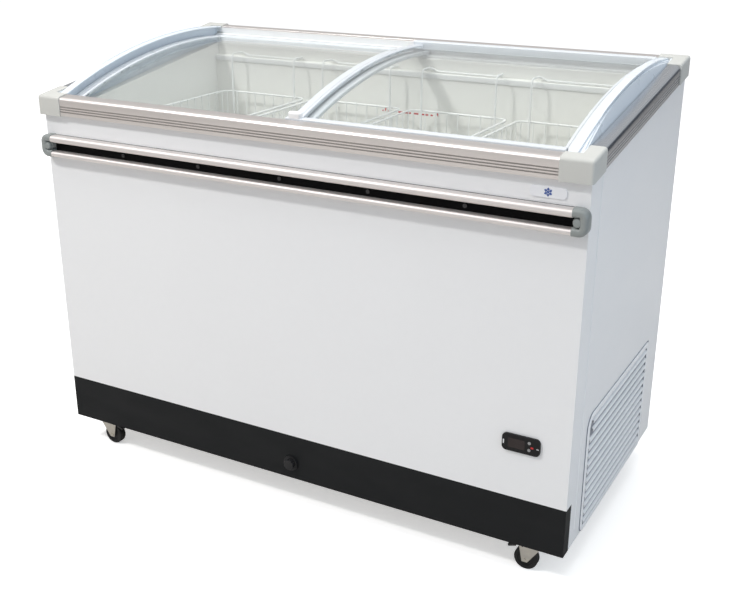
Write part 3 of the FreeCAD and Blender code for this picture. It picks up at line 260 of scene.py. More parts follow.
class Look:
    """A material under construction, patterned in the object's own metres."""

    def __init__(self, name, colour, roughness, metallic=0.0, **uniform):
        self.material = bpy.data.materials.new(name)
        self.material.use_nodes = True
        self.tree = self.material.node_tree
        self.shader = self.tree.nodes["Principled BSDF"]
        self.colour = Vector(colour)
        self.shader.inputs["Base Color"].default_value = (*colour, 1)
        self.shader.inputs["Roughness"].default_value = roughness
        self.shader.inputs["Metallic"].default_value = metallic
        for socket, value in uniform.items():
            self.shader.inputs[socket.replace("_", " ")].default_value = value
        self.normal = None

    def node(self, kind, **settings):
        made = self.tree.nodes.new("ShaderNode" + kind)
        for key, value in settings.items():
            setattr(made, key, value)
        return made

    def link(self, source, target):
        self.tree.links.new(source, target)

    def place(self, stretch=(1, 1, 1), tilt=0.0):
        """Object coordinates, turned by tilt about X and then stretched."""
        coordinates = self.node("TexCoord")
        turn = self.node("Mapping")
        turn.inputs["Rotation"].default_value = (tilt, 0, 0)
        self.link(coordinates.outputs["Object"], turn.inputs["Vector"])
        mapping = self.node("Mapping")
        mapping.inputs["Scale"].default_value = stretch
        self.link(turn.outputs["Vector"], mapping.inputs["Vector"])
        return mapping.outputs["Vector"]

    def noise(self, scale, detail=2.0, stretch=(1, 1, 1), tilt=0.0):
        made = self.node("TexNoise")
        made.inputs["Scale"].default_value = scale
        made.inputs["Detail"].default_value = detail
        self.link(self.place(stretch, tilt), made.inputs["Vector"])
        return made.outputs["Fac"]

    def cells(self, scale, feature="F1", output="Distance"):
        made = self.node("TexVoronoi", feature=feature)
        made.inputs["Scale"].default_value = scale
        self.link(self.place(), made.inputs["Vector"])
        return made.outputs[output]

    def occlusion_shade_mask(self, reach):
        """Ambient-occlusion mask for painted shade: 1 on open faces, down to 0 in grooves narrower than
        reach.
        """
        made = self.node("AmbientOcclusion", samples=8, only_local=True)
        made.inputs["Distance"].default_value = reach
        return made.outputs["AO"]

    def span(self, factor, low, high, begin=0.3, end=0.7):
        """factor from begin to end, mapped to low to high."""
        made = self.node("MapRange")
        for name, value in (("From Min", begin), ("From Max", end), ("To Min", low), ("To Max", high)):
            made.inputs[name].default_value = value
        self.link(factor, made.inputs["Value"])
        return made.outputs["Result"]

    def shade(self, factor, dark, light=1.0, tint=None, begin=0.3, end=0.7):
        """Base colour from dark times the colour to light times it, or to a tint."""
        mix = self.node("Mix", data_type="RGBA")
        self.link(self.span(factor, 0.0, 1.0, begin, end), mix.inputs["Factor"])
        base = self.shader.inputs["Base Color"]
        if base.is_linked:
            source = base.links[0].from_socket
            scaled = self.node("Mix", data_type="RGBA", blend_type="MULTIPLY")
            scaled.inputs["Factor"].default_value = 1.0
            self.link(source, scaled.inputs["A"])
            mix.inputs["A"].default_value = (dark, dark, dark, 1)
            mix.inputs["B"].default_value = (*(tint or (light,) * 3), 1)
            self.link(mix.outputs["Result"], scaled.inputs["B"])
            self.link(scaled.outputs["Result"], base)
            return self
        mix.inputs["A"].default_value = (*(self.colour * dark), 1)
        mix.inputs["B"].default_value = (*(tint or self.colour * light), 1)
        self.link(mix.outputs["Result"], base)
        return self

    def polish(self, factor, low, high, begin=0.3, end=0.7):
        """Roughness from low to high."""
        self.link(self.span(factor, low, high, begin, end), self.shader.inputs["Roughness"])
        return self

    def emboss(self, factor, height, strength=1.0):
        """Bump of a height in metres, on top of any earlier one."""
        bump = self.node("Bump")
        bump.inputs["Distance"].default_value = height
        bump.inputs["Strength"].default_value = strength
        self.link(factor, bump.inputs["Height"])
        if self.normal is not None:
            self.link(self.normal, bump.inputs["Normal"])
        self.normal = bump.outputs["Normal"]
        self.link(self.normal, self.shader.inputs["Normal"])
        return self


def powder_coat(name, colour, roughness=0.34, peel=1.2e-5, gloss=0.25, shine=0.4):
    """Stoved paint on sheet steel: a faint orange peel, wiped streaks and slight waves in the sheet."""
    look = Look(name, colour, roughness, Coat_Weight=gloss, Coat_Roughness=0.12, Specular_IOR_Level=shine)
    look.shade(look.noise(2.2, 3.0), 0.985)
    look.shade(look.noise(60.0, 4.0), 0.992)
    look.polish(look.noise(7.0, 4.0, stretch=(1, 1, 3)), roughness - 0.05, roughness + 0.07)
    look.emboss(look.noise(1.6, 1.0), 6e-4, 0.25)
    look.emboss(look.noise(380.0, 1.5), peel)
    return look


def moulded(name, colour, roughness=0.45, grain=2.5e-5, grain_scale=900.0, shine=0.5):
    """Injection-moulded plastic with a fine spark-eroded grain."""
    look = Look(name, colour, roughness, Specular_IOR_Level=shine)
    look.shade(look.noise(9.0, 3.0), 0.975)
    look.shade(look.noise(420.0, 2.0), 0.985)
    look.polish(look.noise(30.0, 4.0), roughness - 0.05, roughness + 0.07)
    look.emboss(look.noise(grain_scale, 2.0), grain)
    return look


def extruded_aluminium(name, colour, roughness, stretch, tilt=0.0):
    """Anodised extrusion, with die lines along its length, and painted shade darkening its grooves."""
    look = Look(name, colour, roughness, metallic=1.0)
    lines = look.noise(1.0, 2.0, stretch, tilt)
    look.shade(lines, 0.992, 1.003)
    look.shade(look.noise(5.0, 2.0), 0.985)
    # Painted shade: ambient occlusion darkens the grooves and hollows down to 0.45 of the colour.
    look.shade(look.occlusion_shade_mask(0.005), 0.45, begin=0.45, end=0.90)
    look.polish(look.noise(1.0, 3.0, stretch, tilt), roughness - 0.015, roughness + 0.015)
    look.emboss(lines, 8e-7)
    return look


def rubbery(name, colour, roughness=0.62):
    look = Look(name, colour, roughness, Specular_IOR_Level=0.35)
    look.shade(look.noise(70.0, 5.0), 0.75, 1.35)
    look.shade(look.noise(700.0, 2.0), 0.85, 1.1)
    look.polish(look.noise(45.0, 4.0), roughness - 0.12, roughness + 0.1)
    look.emboss(look.noise(600.0, 3.0), 5e-5)
    return look


def zinc_plate(name, colour):
    """Zinc plating: spangles, cloudy patches and a faint yellow bloom."""
    look = Look(name, colour, 0.38, metallic=1.0)
    look.shade(look.cells(110.0, output="Color"), 0.94, 1.02, begin=0.0, end=1.0)
    look.shade(look.noise(35.0, 4.0), 0.94, tint=(1.02, 1.0, 0.95))
    look.polish(look.noise(90.0, 4.0), 0.34, 0.48)
    look.emboss(look.noise(300.0, 3.0), 8e-6)
    return look


def foam(name, colour):
    look = Look(name, colour, 0.9)
    look.shade(look.noise(25.0, 5.0), 0.78, 1.08)
    look.shade(look.cells(500.0), 0.7, 1.05, begin=0.0, end=0.8)
    look.polish(look.noise(200.0), 0.82, 0.97)
    look.emboss(look.cells(420.0), 4e-4)
    return look


def drawn_tube(name, colour, oxide):
    look = Look(name, colour, 0.3, metallic=1.0)
    look.shade(look.noise(40.0, 5.0), 0.9, tint=oxide)
    look.polish(look.noise(120.0, 4.0), 0.22, 0.45)
    look.emboss(look.noise(500.0, 2.0), 2e-5)
    return look


def lid_glass(name):
    """Clear toughened glass: see-through, mirror-like at a grazing view, with a faint green body tint."""
    material = bpy.data.materials.new(name)
    material.use_nodes = True
    tree = material.node_tree
    tree.nodes.clear()
    out = tree.nodes.new("ShaderNodeOutputMaterial")
    mix = tree.nodes.new("ShaderNodeMixShader")
    clear = tree.nodes.new("ShaderNodeBsdfTransparent")
    mirror = tree.nodes.new("ShaderNodeBsdfGlossy")
    facing = tree.nodes.new("ShaderNodeLayerWeight")
    steep = tree.nodes.new("ShaderNodeMath")
    share = tree.nodes.new("ShaderNodeMath")
    coordinates = tree.nodes.new("ShaderNodeTexCoord")
    film = tree.nodes.new("ShaderNodeTexNoise")
    smear = tree.nodes.new("ShaderNodeMapRange")
    clear.inputs["Color"].default_value = (0.985, 0.992, 0.988, 1)
    mirror.inputs["Color"].default_value = (1, 1, 1, 1)
    facing.inputs["Blend"].default_value = 0.5
    steep.operation = "POWER"
    steep.inputs[1].default_value = 5.0
    share.operation = "MULTIPLY_ADD"
    share.inputs[1].default_value = 0.80
    share.inputs[2].default_value = 0.03
    film.inputs["Scale"].default_value = 5.0
    film.inputs["Detail"].default_value = 5.0
    smear.inputs["To Min"].default_value = 0.01
    smear.inputs["To Max"].default_value = 0.09
    tree.links.new(coordinates.outputs["Object"], film.inputs["Vector"])
    tree.links.new(film.outputs["Fac"], smear.inputs["Value"])
    tree.links.new(smear.outputs["Result"], mirror.inputs["Roughness"])
    tree.links.new(facing.outputs["Facing"], steep.inputs[0])
    tree.links.new(steep.outputs["Value"], share.inputs[0])
    tree.links.new(share.outputs["Value"], mix.inputs["Fac"])
    tree.links.new(clear.outputs["BSDF"], mix.inputs[1])
    tree.links.new(mirror.outputs["BSDF"], mix.inputs[2])
    tree.links.new(mix.outputs["Shader"], out.inputs["Surface"])
    return material


ALONG_X = (2.0, 1500.0, 1500.0)
ALONG_DECK = (1500.0, 2.0, 1500.0)


def make_looks():
    """One material for each material slot of the record, and a few for marks."""
    looks = {
        "white_steel": powder_coat("white_steel", (0.86, 0.865, 0.875)),
        "back_steel": powder_coat("back_steel", (0.78, 0.79, 0.80), 0.42),
        "galvanised_steel": zinc_plate("galvanised_steel", (0.62, 0.60, 0.56)),
        "kick_black": powder_coat("kick_black", (0.0085, 0.0095, 0.0105), 0.60, 4e-5, 0.0, 0.22),
        "liner_white": powder_coat("liner_white", (0.90, 0.90, 0.865), 0.38),
        "foam_yellow": foam("foam_yellow", (0.80, 0.68, 0.42)),
        "aluminium_tube": drawn_tube("aluminium_tube", (0.72, 0.73, 0.74), (0.60, 0.61, 0.62)),
        "copper_tube": drawn_tube("copper_tube", (0.78, 0.42, 0.26), (0.40, 0.22, 0.14)),
        "rim_aluminium": extruded_aluminium("rim_aluminium", (0.90, 0.85, 0.825), 0.40, ALONG_X),
        # Painted shade: a darker, bluer copy of the rim aluminium for the side rims, standing in for their
        # shaded faces and dark reflections.
        "rim_aluminium_painted_shade": extruded_aluminium("rim_aluminium_painted_shade", (0.60, 0.62, 0.65), 0.26,
                                                 ALONG_DECK, -DECK_ANGLE),
        "cap_plastic": moulded("cap_plastic", (0.58, 0.58, 0.55), 0.42),
        "rail_plastic": moulded("rail_plastic", (0.84, 0.85, 0.85), 0.40),
        "arch_plastic": moulded("arch_plastic", (0.76, 0.81, 0.86), 0.30, 1e-5),
        "lid_plastic": moulded("lid_plastic", (0.68, 0.71, 0.74), 0.32, 1e-5),
        "handle_plastic": moulded("handle_plastic", (0.90, 0.90, 0.90), 0.22, 5e-6),
        "bumper_silver": extruded_aluminium("bumper_silver", (0.83, 0.79, 0.775), 0.60, ALONG_X),
        "bumper_black": moulded("bumper_black", (0.002, 0.002, 0.0025), 0.70, 4e-5, shine=0.1),
        "bumper_grey": moulded("bumper_grey", (0.27, 0.29, 0.285), 0.38, 3e-5),
        "screw_steel": zinc_plate("screw_steel", (0.10, 0.10, 0.105)),
        "controller_black": moulded("controller_black", (0.004, 0.004, 0.0045), 0.35, 1e-5, shine=0.3),
        "window_smoke": moulded("window_smoke", (0.012, 0.004, 0.004), 0.10, 0.0),
        "button_grey": rubbery("button_grey", (0.30, 0.30, 0.30), 0.5),
        "badge_white": moulded("badge_white", (0.86, 0.87, 0.90), 0.22, 0.0),
        "compressor_black": powder_coat("compressor_black", (0.014, 0.014, 0.015), 0.28, 5e-5),
        "grommet_rubber": rubbery("grommet_rubber", (0.02, 0.02, 0.02)),
        "condenser_fins": drawn_tube("condenser_fins", (0.70, 0.71, 0.72), (0.55, 0.56, 0.57)),
        "fan_motor_grey": powder_coat("fan_motor_grey", (0.30, 0.30, 0.31), 0.45, 4e-5),
        "fan_plastic": moulded("fan_plastic", (0.035, 0.035, 0.036), 0.5, 5e-5),
        "gland_black": moulded("gland_black", (0.022, 0.022, 0.023), 0.5, 4e-5),
        "plug_black": rubbery("plug_black", (0.014, 0.014, 0.015), 0.5),
        "wheel_black": rubbery("wheel_black", (0.016, 0.016, 0.016), 0.55),
        "pedal_black": moulded("pedal_black", (0.020, 0.020, 0.021), 0.42, 4e-5),
        "basket_wire": moulded("basket_wire", (0.88, 0.89, 0.885), 0.30, 2e-5, 500.0),
        "vent_white": powder_coat("vent_white", (0.90, 0.91, 0.93), 0.30),
        # Painted shade: the vent grille behind the louvres is white steel, drawn dark blue-grey for the
        # shade between them.
        "vent_painted_shade": powder_coat("vent_painted_shade", (0.20, 0.22, 0.26), 0.45),
        "mark_red": moulded("mark_red", (0.55, 0.020, 0.022), 0.40, 0.0),
        "mark_white": moulded("mark_white", (0.75, 0.76, 0.78), 0.40, 0.0),
        "mark_blue": moulded("mark_blue", (0.030, 0.105, 0.42), 0.30, 0.0),
        "seal_grey": rubbery("seal_grey", (0.055, 0.060, 0.068), 0.6),
    }
    made = {name: look.material for name, look in looks.items()}
    made["lid_glass"] = lid_glass("lid_glass")
    return made


def dress_cad_nodes(looks):
    """Gives each CAD node the material of its slot in the record, except the vent grille, which gets a dark
    blue-grey as painted shade between its louvres.
    """
    slots = {row["node"]: row["material_slot"] for row in frame["record"]["subparts"]}
    for name, node in frame["nodes"].items():
        # The vent grille takes the dark painted-shade material instead of its slot's white.
        look = looks["vent_painted_shade"] if name == "vent_grille" else looks[slots[name]]
        for place in node.material_slots:
            place.material = look


# Rim, arches and bumper ---------------------------------------------------------------------------

def rim_section(outer, top_at, inner_top, foot, lip_end):
    """Section of the rim extrusion as (out, up): soft outer edge, and grooves low on the face."""
    sign = 1 if outer > inner_top[0] else -1
    wall = RIM_WALL
    bottom = top_at(outer) - RIM_HEIGHT
    inside = outer - sign * wall
    deep = outer - sign * RIM_GROOVE_DEPTH
    chamfer = 0.0006
    points = [(outer - sign * chamfer, bottom, 0), (outer, bottom + chamfer, 0)]
    for i in range(RIM_GROOVES):
        z = bottom + RIM_GROOVE_UP + RIM_GROOVE_PITCH * i
        points += [(outer, z, 0), (deep, z + 0.0010, 0), (deep, z + 0.0024, 0), (outer, z + 0.0028, 0)]
    count = len(points)
    leg = inner_top[0] + sign * wall
    points += [(outer, top_at(outer), 0), (*inner_top, 0), (*foot, 0), (foot[0] + sign * wall, foot[1], 0),
               (leg, top_at(leg) - wall, 0), (inside, top_at(inside) - wall, 0), (inside, bottom + wall, 0),
               (lip_end, bottom + wall, 0), (lip_end, bottom, 0)]
    radii = [0] * count + [RIM_EDGE_R, 0.0016, 0, 0, 0, RIM_EDGE_R - wall, 0, 0, 0]
    return rounded(points, radii, 7, closed=True)


def rims(looks):
    """Rim extrusions: the front and rear run along X, the two sides climb the deck."""
    low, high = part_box("rim_front")
    for node, outer, side in (("rim_front", low.y, -1), ("rim_rear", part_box("rim_rear")[1].y, 1)):
        top = deck(0, side * RIM_INNER_S, 0)
        foot = deck(0, side * RIM_INNER_S, -RIM_LEG)
        lip_end = RIM_LIP_Y[0] if side < 0 else RIM_LIP_Y[1]
        section = rim_section(outer, deck_z, (top.y, top.z), (foot.y, foot.z), lip_end)

        def build(bm):
            add_loft(bm, [[Vector((x, p[0], p[1])) for p in section] for x in (low.x, high.x)])
        skin(node, build, looks["rim_aluminium"])
    for node, side in (("rim_left", -1), ("rim_right", 1)):
        low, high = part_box(node)
        outer = high.x if side > 0 else low.x
        inner = low.x if side > 0 else high.x
        section = rim_section(outer, lambda x: 0.0, (inner, 0), (inner, -RIM_LEG), side * RIM_LIP_X)

        def build(bm):
            add_loft(bm, [[on_deck_at(p[0], y, p[1]) for p in section] for y in (low.y, high.y)])
        # The side rims take the darker copy of the aluminium, which is painted shade.
        skin(node, build, looks["rim_aluminium_painted_shade"])


def arch_top(s):
    """Height of the arches' cover strips over the deck at s."""
    return math.sqrt(ARCH_R ** 2 - s ** 2) + LID_AXIS_N


def arch_section(side, s):
    """Section of an end arch at s, as points: leaning wall, dark rebate, and a soft-edged cover strip."""
    top = arch_top(s)
    strip = top - 0.0035
    neck = max(0.0, strip - 0.0022)
    lean = ARCH_OUT_X - 0.011 * neck / 0.033
    rebate = lean - 0.0030
    strip_out = ARCH_STRIP_X[1]
    strip_in = ARCH_STRIP_X[0]
    points = [(ARCH_OUT_X, ARCH_FOOT_N), (ARCH_OUT_X, -0.001), (lean, neck - 0.0006), (rebate, neck),
              (rebate, strip - 0.0002), (strip_out - 0.0008, strip), (strip_out, strip + 0.0008),
              (strip_out, top - 0.0010), (strip_out - 0.0010, top), (strip_in + 0.0012, top),
              (strip_in, top - 0.0010), (strip_in, strip + 0.0006), (strip_in + 0.0008, strip),
              (ARCH_WALL_X, strip), (ARCH_WALL_X, ARCH_FOOT_N)]
    return [deck(side * x, s, n) for x, n in points]


def end_arches(looks):
    """Curved end pieces with a cover strip, and a raised lip along the middle of the strip."""
    steps = 48
    for node, side in (("end_arch_left", -1), ("end_arch_right", 1)):
        def build(bm):
            half = RIM_INNER_S - 0.001
            add_loft(bm, [arch_section(side, half * (2 * i / steps - 1)) for i in range(steps + 1)])
            loops = []
            for i in range(steps + 1):
                s = ARCH_LIP_S[0] + (ARCH_LIP_S[1] - ARCH_LIP_S[0]) * i / steps
                low = arch_top(s) - 0.001
                high = arch_top(s) + 0.0019 * min(1.0, i / 2, (steps - i) / 2)
                edge = rounded([(ARCH_WALL_X, low, 0), (ARCH_WALL_X, high, 0), (ARCH_STRIP_X[1], high, 0),
                                (ARCH_STRIP_X[1], low, 0)], [0, 0.0007, 0.0007, 0], 2, closed=True)
                loops.append([deck(side * p[0], s, p[1]) for p in edge])
            add_loft(bm, loops)
        skin(node, build, looks["arch_plastic"], sharp=28)


def bumper_caps(looks):
    """Moulded ends of the bumper: a rounded bend that holds both rails, and a boss in the middle."""
    low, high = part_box("bumper_end_caps")
    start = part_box("bumper_upper_rail")[1].x
    reach = 0.0080
    arms = (low.z + reach, high.z - reach)
    bend_x = high.x - reach
    profile = rounded([(low.y, -reach, 0), (low.y, reach, 0), (high.y, reach, 0), (high.y, -reach, 0)],
                      [0.0068, 0.0068, 0.0005, 0.0005], 6, closed=True)
    boss = [(0.0098, high.y), (0.0098, -0.3120), (0.0088, -0.3132), (0.0078, -0.3132), (0.0076, -0.3192),
            (0.0066, -0.3206), (0.0036, -0.3212), (0.0004, -0.3212)]

    def build(bm):
        for side in (-1, 1):
            a = side * start
            b = side * bend_x
            path = rounded([(a, 0, arms[1]), (b, 0, arms[1]), (b, 0, arms[0]), (a, 0, arms[0])], 0.0088, 8)
            add_sweep(bm, path, Y, profile)
            centre = Vector((side * (start + 0.0095), 0, (low.z + high.z) / 2))
            add_turned(bm, centre, boss)
    skin("bumper_end_caps", build, looks["bumper_grey"])


def vent_louvres(looks):
    """Raised border of the side vent, and a hooded louvre over each of its slots."""
    low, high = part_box("vent_grille")
    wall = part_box("front_panel")[1].x
    border = 0.012
    pitch = (high.z - low.z - 2 * border) / VENT_SLATS
    hood = rounded([(-0.0004, 0.0044, 0), (0.0036, 0.0012, 0), (0.0036, -0.0040, 0), (0.0024, -0.0040, 0),
                    (0.0024, 0.0004, 0), (-0.0012, 0.0036, 0)],
                   [0, 0.0030, 0.0005, 0.0005, 0.0020, 0], 4, closed=True)

    def build(bm):
        inset = border / 2
        loop = rounded([(wall, low.y + inset, low.z + inset), (wall, high.y - inset, low.z + inset),
                        (wall, high.y - inset, high.z - inset), (wall, low.y + inset, high.z - inset)],
                       [0.012, 0.006, 0.006, 0.026], 8, closed=True)
        add_sweep(bm, loop, X, rounded_box((-0.0005, -inset), (0.0030, inset), 0.0015, 3), closed=True)
        for i in range(VENT_SLATS):
            z = low.z + border + pitch * (i + 0.5)
            y0 = low.y + border + (0.020 if i > VENT_SLATS - 3 else 0.004)
            y1 = high.y - border - 0.004
            path = [Vector((wall, y0, z)), Vector((wall, y1, z))]
            add_sweep(bm, path, X, hood)
    new_object("vent_louvres", mesh_of("vent_louvres", build), looks["vent_white"], "root")


def corner_caps(looks):
    """Moulded caps over the rim's corners, L-shaped in plan, with soft outer edges."""
    low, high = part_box("rim_corner_caps")

    def build(bm):
        for side in (-1, 1):
            for outer, joint, turn in ((low.y, -CAP_INNER_Y, -1), (high.y, CAP_INNER_Y, 1)):
                inner = deck(0, turn * RIM_INNER_S, 0).y
                plan = [(CAP_INNER_X, outer), (high.x, outer), (high.x, joint), (RIM_INNER_X, joint),
                        (RIM_INNER_X, inner), (CAP_INNER_X, inner)]
                top = [bm.verts.new((side * x, y, deck_z(y, CAP_PROUD))) for x, y in plan]
                foot = [bm.verts.new((side * x, y, deck_z(y, CAP_PROUD) - CAP_HEIGHT)) for x, y in plan]
                upper = bm.faces.new(top)
                bm.faces.new(foot)
                for k in range(6):
                    bm.faces.new((top[k], top[(k + 1) % 6], foot[(k + 1) % 6], foot[k]))
                soft = [bm.edges.get((top[k], top[k + 1])) for k in (0, 1)]
                soft.append(bm.edges.get((top[1], foot[1])))
                bmesh.ops.bevel(bm, geom=soft, offset=0.0065, segments=5, affect="EDGES", profile=0.5)
    skin("rim_corner_caps", build, looks["cap_plastic"], sharp=40)


# Lids ---------------------------------------------------------------------------------------------

def lid_arc(radius, half_s, x, steps=40):
    """Points of an arc about the lids' common axis, from front to back."""
    half_angle = math.asin(half_s / radius)
    line = []
    for i in range(steps + 1):
        angle = half_angle * (2 * i / steps - 1)
        line.append(deck(x, radius * math.sin(angle), radius * math.cos(angle) + LID_AXIS_N))
    return line


def stile_profile(outer_side):
    """Section of a curved side frame, from its top middle: soft edges, and a groove beside the glass."""
    w = STILE_W / 2
    t = FRAME_T
    g = 0.0016
    corners = [(-w, 0), (-w, -t), (w, -t), (w, 0), (w - 0.006, 0), (w - 0.006, -g / 2),
               (w - 0.0075, -g / 2), (w - 0.0075, 0)]
    radii = [0.0022, 0.0012, 0.0012, 0.0022, 0, 0, 0, 0]
    points = rounded([(a * outer_side, b, 0) for a, b in corners], radii, 3, closed=True)
    return points


def lid_frame(looks, body, node, radius, x0, x1, bar_x0, bar_x1, half, bar_w, bar_n):
    inner = half - bar_w

    def build(bm):
        for x, side in ((x0 + STILE_W / 2, 1), (x1 - STILE_W / 2, -1)):
            add_sweep(bm, lid_arc(radius, inner, x), X, stile_profile(side))
        for s in (-half + bar_w / 2, half - bar_w / 2):
            w = bar_w / 2
            profile = rounded_box((-w, bar_n[0]), (w, bar_n[1]), 0.0016)
            path = [deck(bar_x0, s, 0), deck(bar_x1, s, 0)]
            add_sweep(bm, path, DECK_S, [(p[0], -p[1]) for p in profile])
    piece = new_object(body + "_frame_skin", mesh_of(node, build), looks["lid_plastic"], body)
    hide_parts(node)


def lid_seal(looks):
    """Brush strip under the upper lid's left side frame, over the lower lid."""
    def build(bm):
        profile = rounded_box((-0.0012, -0.0044), (0.0012, 0.0004), 0.0005)
        add_sweep(bm, lid_arc(LID_R - FRAME_T, BRUSH_S, 0.004), X, profile)
    new_object("right_lid_brush", mesh_of("brush", build), looks["seal_grey"], "right_lid")


def lids(looks):
    glass_low, glass_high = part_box("right_lid_glass")
    lid_frame(looks, "right_lid", "right_lid_frame", LID_R, glass_low.x - STILE_W, glass_high.x + STILE_W,
              glass_low.x - STILE_W, UPPER_BAR_END_X, UPPER_S, UPPER_BAR_W, UPPER_BAR_N)
    glass_low, glass_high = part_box("left_lid_glass")
    lid_frame(looks, "left_lid", "left_lid_frame", LID_R - LOWER_DROP, glass_low.x - STILE_W,
              glass_high.x + STILE_W, glass_low.x - STILE_W, glass_high.x + STILE_W, LOWER_S, LOWER_BAR_W,
              LOWER_BAR_N)
    lid_seal(looks)


# Baskets ------------------------------------------------------------------------------------------

def ring(x0, z, inset):
    """Level ring round the basket, set in from its outside."""
    x1 = x0 + BASKET_W - inset
    y0 = BASKET_FRONT_Y + inset
    y1 = BASKET_BACK_Y - inset
    corners = [(x0 + inset, y0, z), (x1, y0, z), (x1, y1, z), (x0 + inset, y1, z)]
    line = rounded(corners, BASKET_CORNER_R - inset, 6, closed=True)
    return line + [line[0]]


def corner_inset(distance, inset):
    """How far the basket's rounded corner stands in, at a distance from the side."""
    radius = BASKET_CORNER_R - inset
    reach = max(0.0, radius - (distance - inset))
    return inset + radius - math.sqrt(radius ** 2 - reach ** 2)


def basket_wires(x0, floor):
    """Bent wires that run down one wall, over the floor and up the other, and two level rings."""
    inset = 2 * HEAVY_R + WIRE_R
    top = BASKET_RIM_Z
    lines = [ring(x0, floor + 0.5 * (top - floor), 2 * HEAVY_R - WIRE_R),
             ring(x0, floor + 6 * WIRE_R, 2 * HEAVY_R - WIRE_R)]
    depth = BASKET_BACK_Y - BASKET_FRONT_Y
    count = int(BASKET_W / WIRE_PITCH / 2)
    for i in range(-count, count + 1):
        x = x0 + BASKET_W / 2 + WIRE_PITCH * i
        gap = corner_inset(BASKET_W / 2 - abs(WIRE_PITCH * i), inset)
        z = floor + WIRE_R
        y0 = BASKET_FRONT_Y + gap
        y1 = BASKET_BACK_Y - gap
        lines.append(rounded([(x, y0, top), (x, y0, z), (x, y1, z), (x, y1, top)], BASKET_FOOT_R))
    count = int(depth / WIRE_PITCH / 2)
    middle = (BASKET_FRONT_Y + BASKET_BACK_Y) / 2
    for i in range(-count, count + 1):
        y = middle + WIRE_PITCH * i
        gap = corner_inset(depth / 2 - abs(WIRE_PITCH * i), inset)
        z = floor + 3 * WIRE_R
        a = x0 + gap
        b = x0 + BASKET_W - gap
        lines.append(rounded([(a, y, top), (a, y, z), (b, y, z), (b, y, top)], BASKET_FOOT_R))
    return lines


def basket_frame(x0, floor):
    """The rim, and the tall loops that hook over the liner's ledges."""
    left = x0 + HOOK_INSET
    right = x0 + BASKET_W - HOOK_INSET
    post = 2 * HEAVY_R + 2 * WIRE_R + HEAVY_R
    foot = floor + 4 * WIRE_R + HEAVY_R
    dip = 0.020
    back_y = BASKET_BACK_Y - post
    rail_y = LINER_BACK_Y + 0.0075
    rail_z = deck_z(rail_y + HEAVY_R, LEDGE_N) + HEAVY_R + 0.0004
    top = rail_z + 0.008
    back = [(left, back_y, foot), (left, back_y, top), (left, rail_y, top), (left + dip, rail_y, rail_z),
            (right - dip, rail_y, rail_z), (right, rail_y, top), (right, back_y, top), (right, back_y, foot)]
    front_y = BASKET_FRONT_Y + post
    hook_y = LINER_FRONT_Y - 0.0055
    hook_z = deck_z(LINER_FRONT_Y, LEDGE_N) + HEAVY_R + 0.0004
    front = [(left, front_y, foot), (left, front_y, hook_z), (left, hook_y, hook_z), (right, hook_y, hook_z),
             (right, front_y, hook_z), (right, front_y, foot)]
    back_bends = [0, 0.012, 0.012, 0.010, 0.010, 0.012, 0.012, 0]
    return [ring(x0, BASKET_RIM_Z - HEAVY_R, HEAVY_R), rounded(back, back_bends, 6), rounded(front, 0.007)]


def baskets(looks):
    for i in range(1, 5):
        name = f"basket_{i}"
        low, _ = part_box(name)
        look = looks["basket_wire"]
        mesh = wires(name + "_mesh", basket_wires(low.x, low.z), WIRE_R, look, name)
        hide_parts(name)
        wires(name + "_frame", basket_frame(low.x, low.z), HEAVY_R, look, name)


# Small pieces on the body -------------------------------------------------------------------------

def ledge_strips(looks):
    """White edge strips that hang over the front and back ledges of the liner."""
    hang = 0.0125
    thick = 0.0026
    for name, y, sign in (("ledge_strip_back", LINER_BACK_Y, -1), ("ledge_strip_front", LINER_FRONT_Y, 1)):
        top = deck_z(y, LEDGE_N) + 0.0002

        def build(bm):
            profile = rounded_box((min(0, sign * thick), -hang), (max(0, sign * thick), 0), 0.0011)
            path = [Vector((-LINER_HALF_W, y, top)), Vector((LINER_HALF_W, y, top))]
            add_sweep(bm, path, Y, [(p[0], -p[1]) for p in profile])
        new_object(name, mesh_of(name, build), looks["rail_plastic"], "root")


def add_plate(bm, outline, axis, thickness):
    """Flat plate: outline is a loop of points, thickness goes along axis."""
    front = [bm.verts.new(p) for p in outline]
    back = [bm.verts.new(p - axis * thickness) for p in outline]
    bm.faces.new(front)
    bm.faces.new(back)
    for i in range(len(outline)):
        j = (i + 1) % len(outline)
        bm.faces.new((front[i], front[j], back[j], back[i]))


def facing_front(x0, x1, z0, z1, y, radius, steps=4):
    """Rounded rectangle in a plane of constant y."""
    return rounded([(x0, y, z0), (x1, y, z0), (x1, y, z1), (x0, y, z1)], radius, steps, closed=True)


def load_line(looks):
    """Red dashed fill limit on the liner's back wall, with a mark at each end."""
    y = LINER_BACK_Y - 0.0003
    z = 0.782
    half_h = 0.0018
    dash = [(-0.073, -0.070), (-0.058, -0.053), (-0.030, 0.004), (0.012, 0.024), (0.030, 0.050),
            (0.056, 0.062)]

    def build(bm):
        for x0, x1 in dash:
            add_plate(bm, facing_front(x0, x1, z - half_h, z + half_h, y, 0.0008), -Y, 0.0003)
        for x, side in ((-0.066, 1), (0.076, -1)):
            tick = [Vector((x, y, z - 0.003)), Vector((x + side * 0.0035, y, z + 0.003)),
                    Vector((x + side * 0.0045, y, z + 0.010)), Vector((x, y, z + 0.010))]
            add_plate(bm, tick, -Y, 0.0003)
    new_object("load_line", mesh_of("load_line", build), looks["mark_red"], "root")


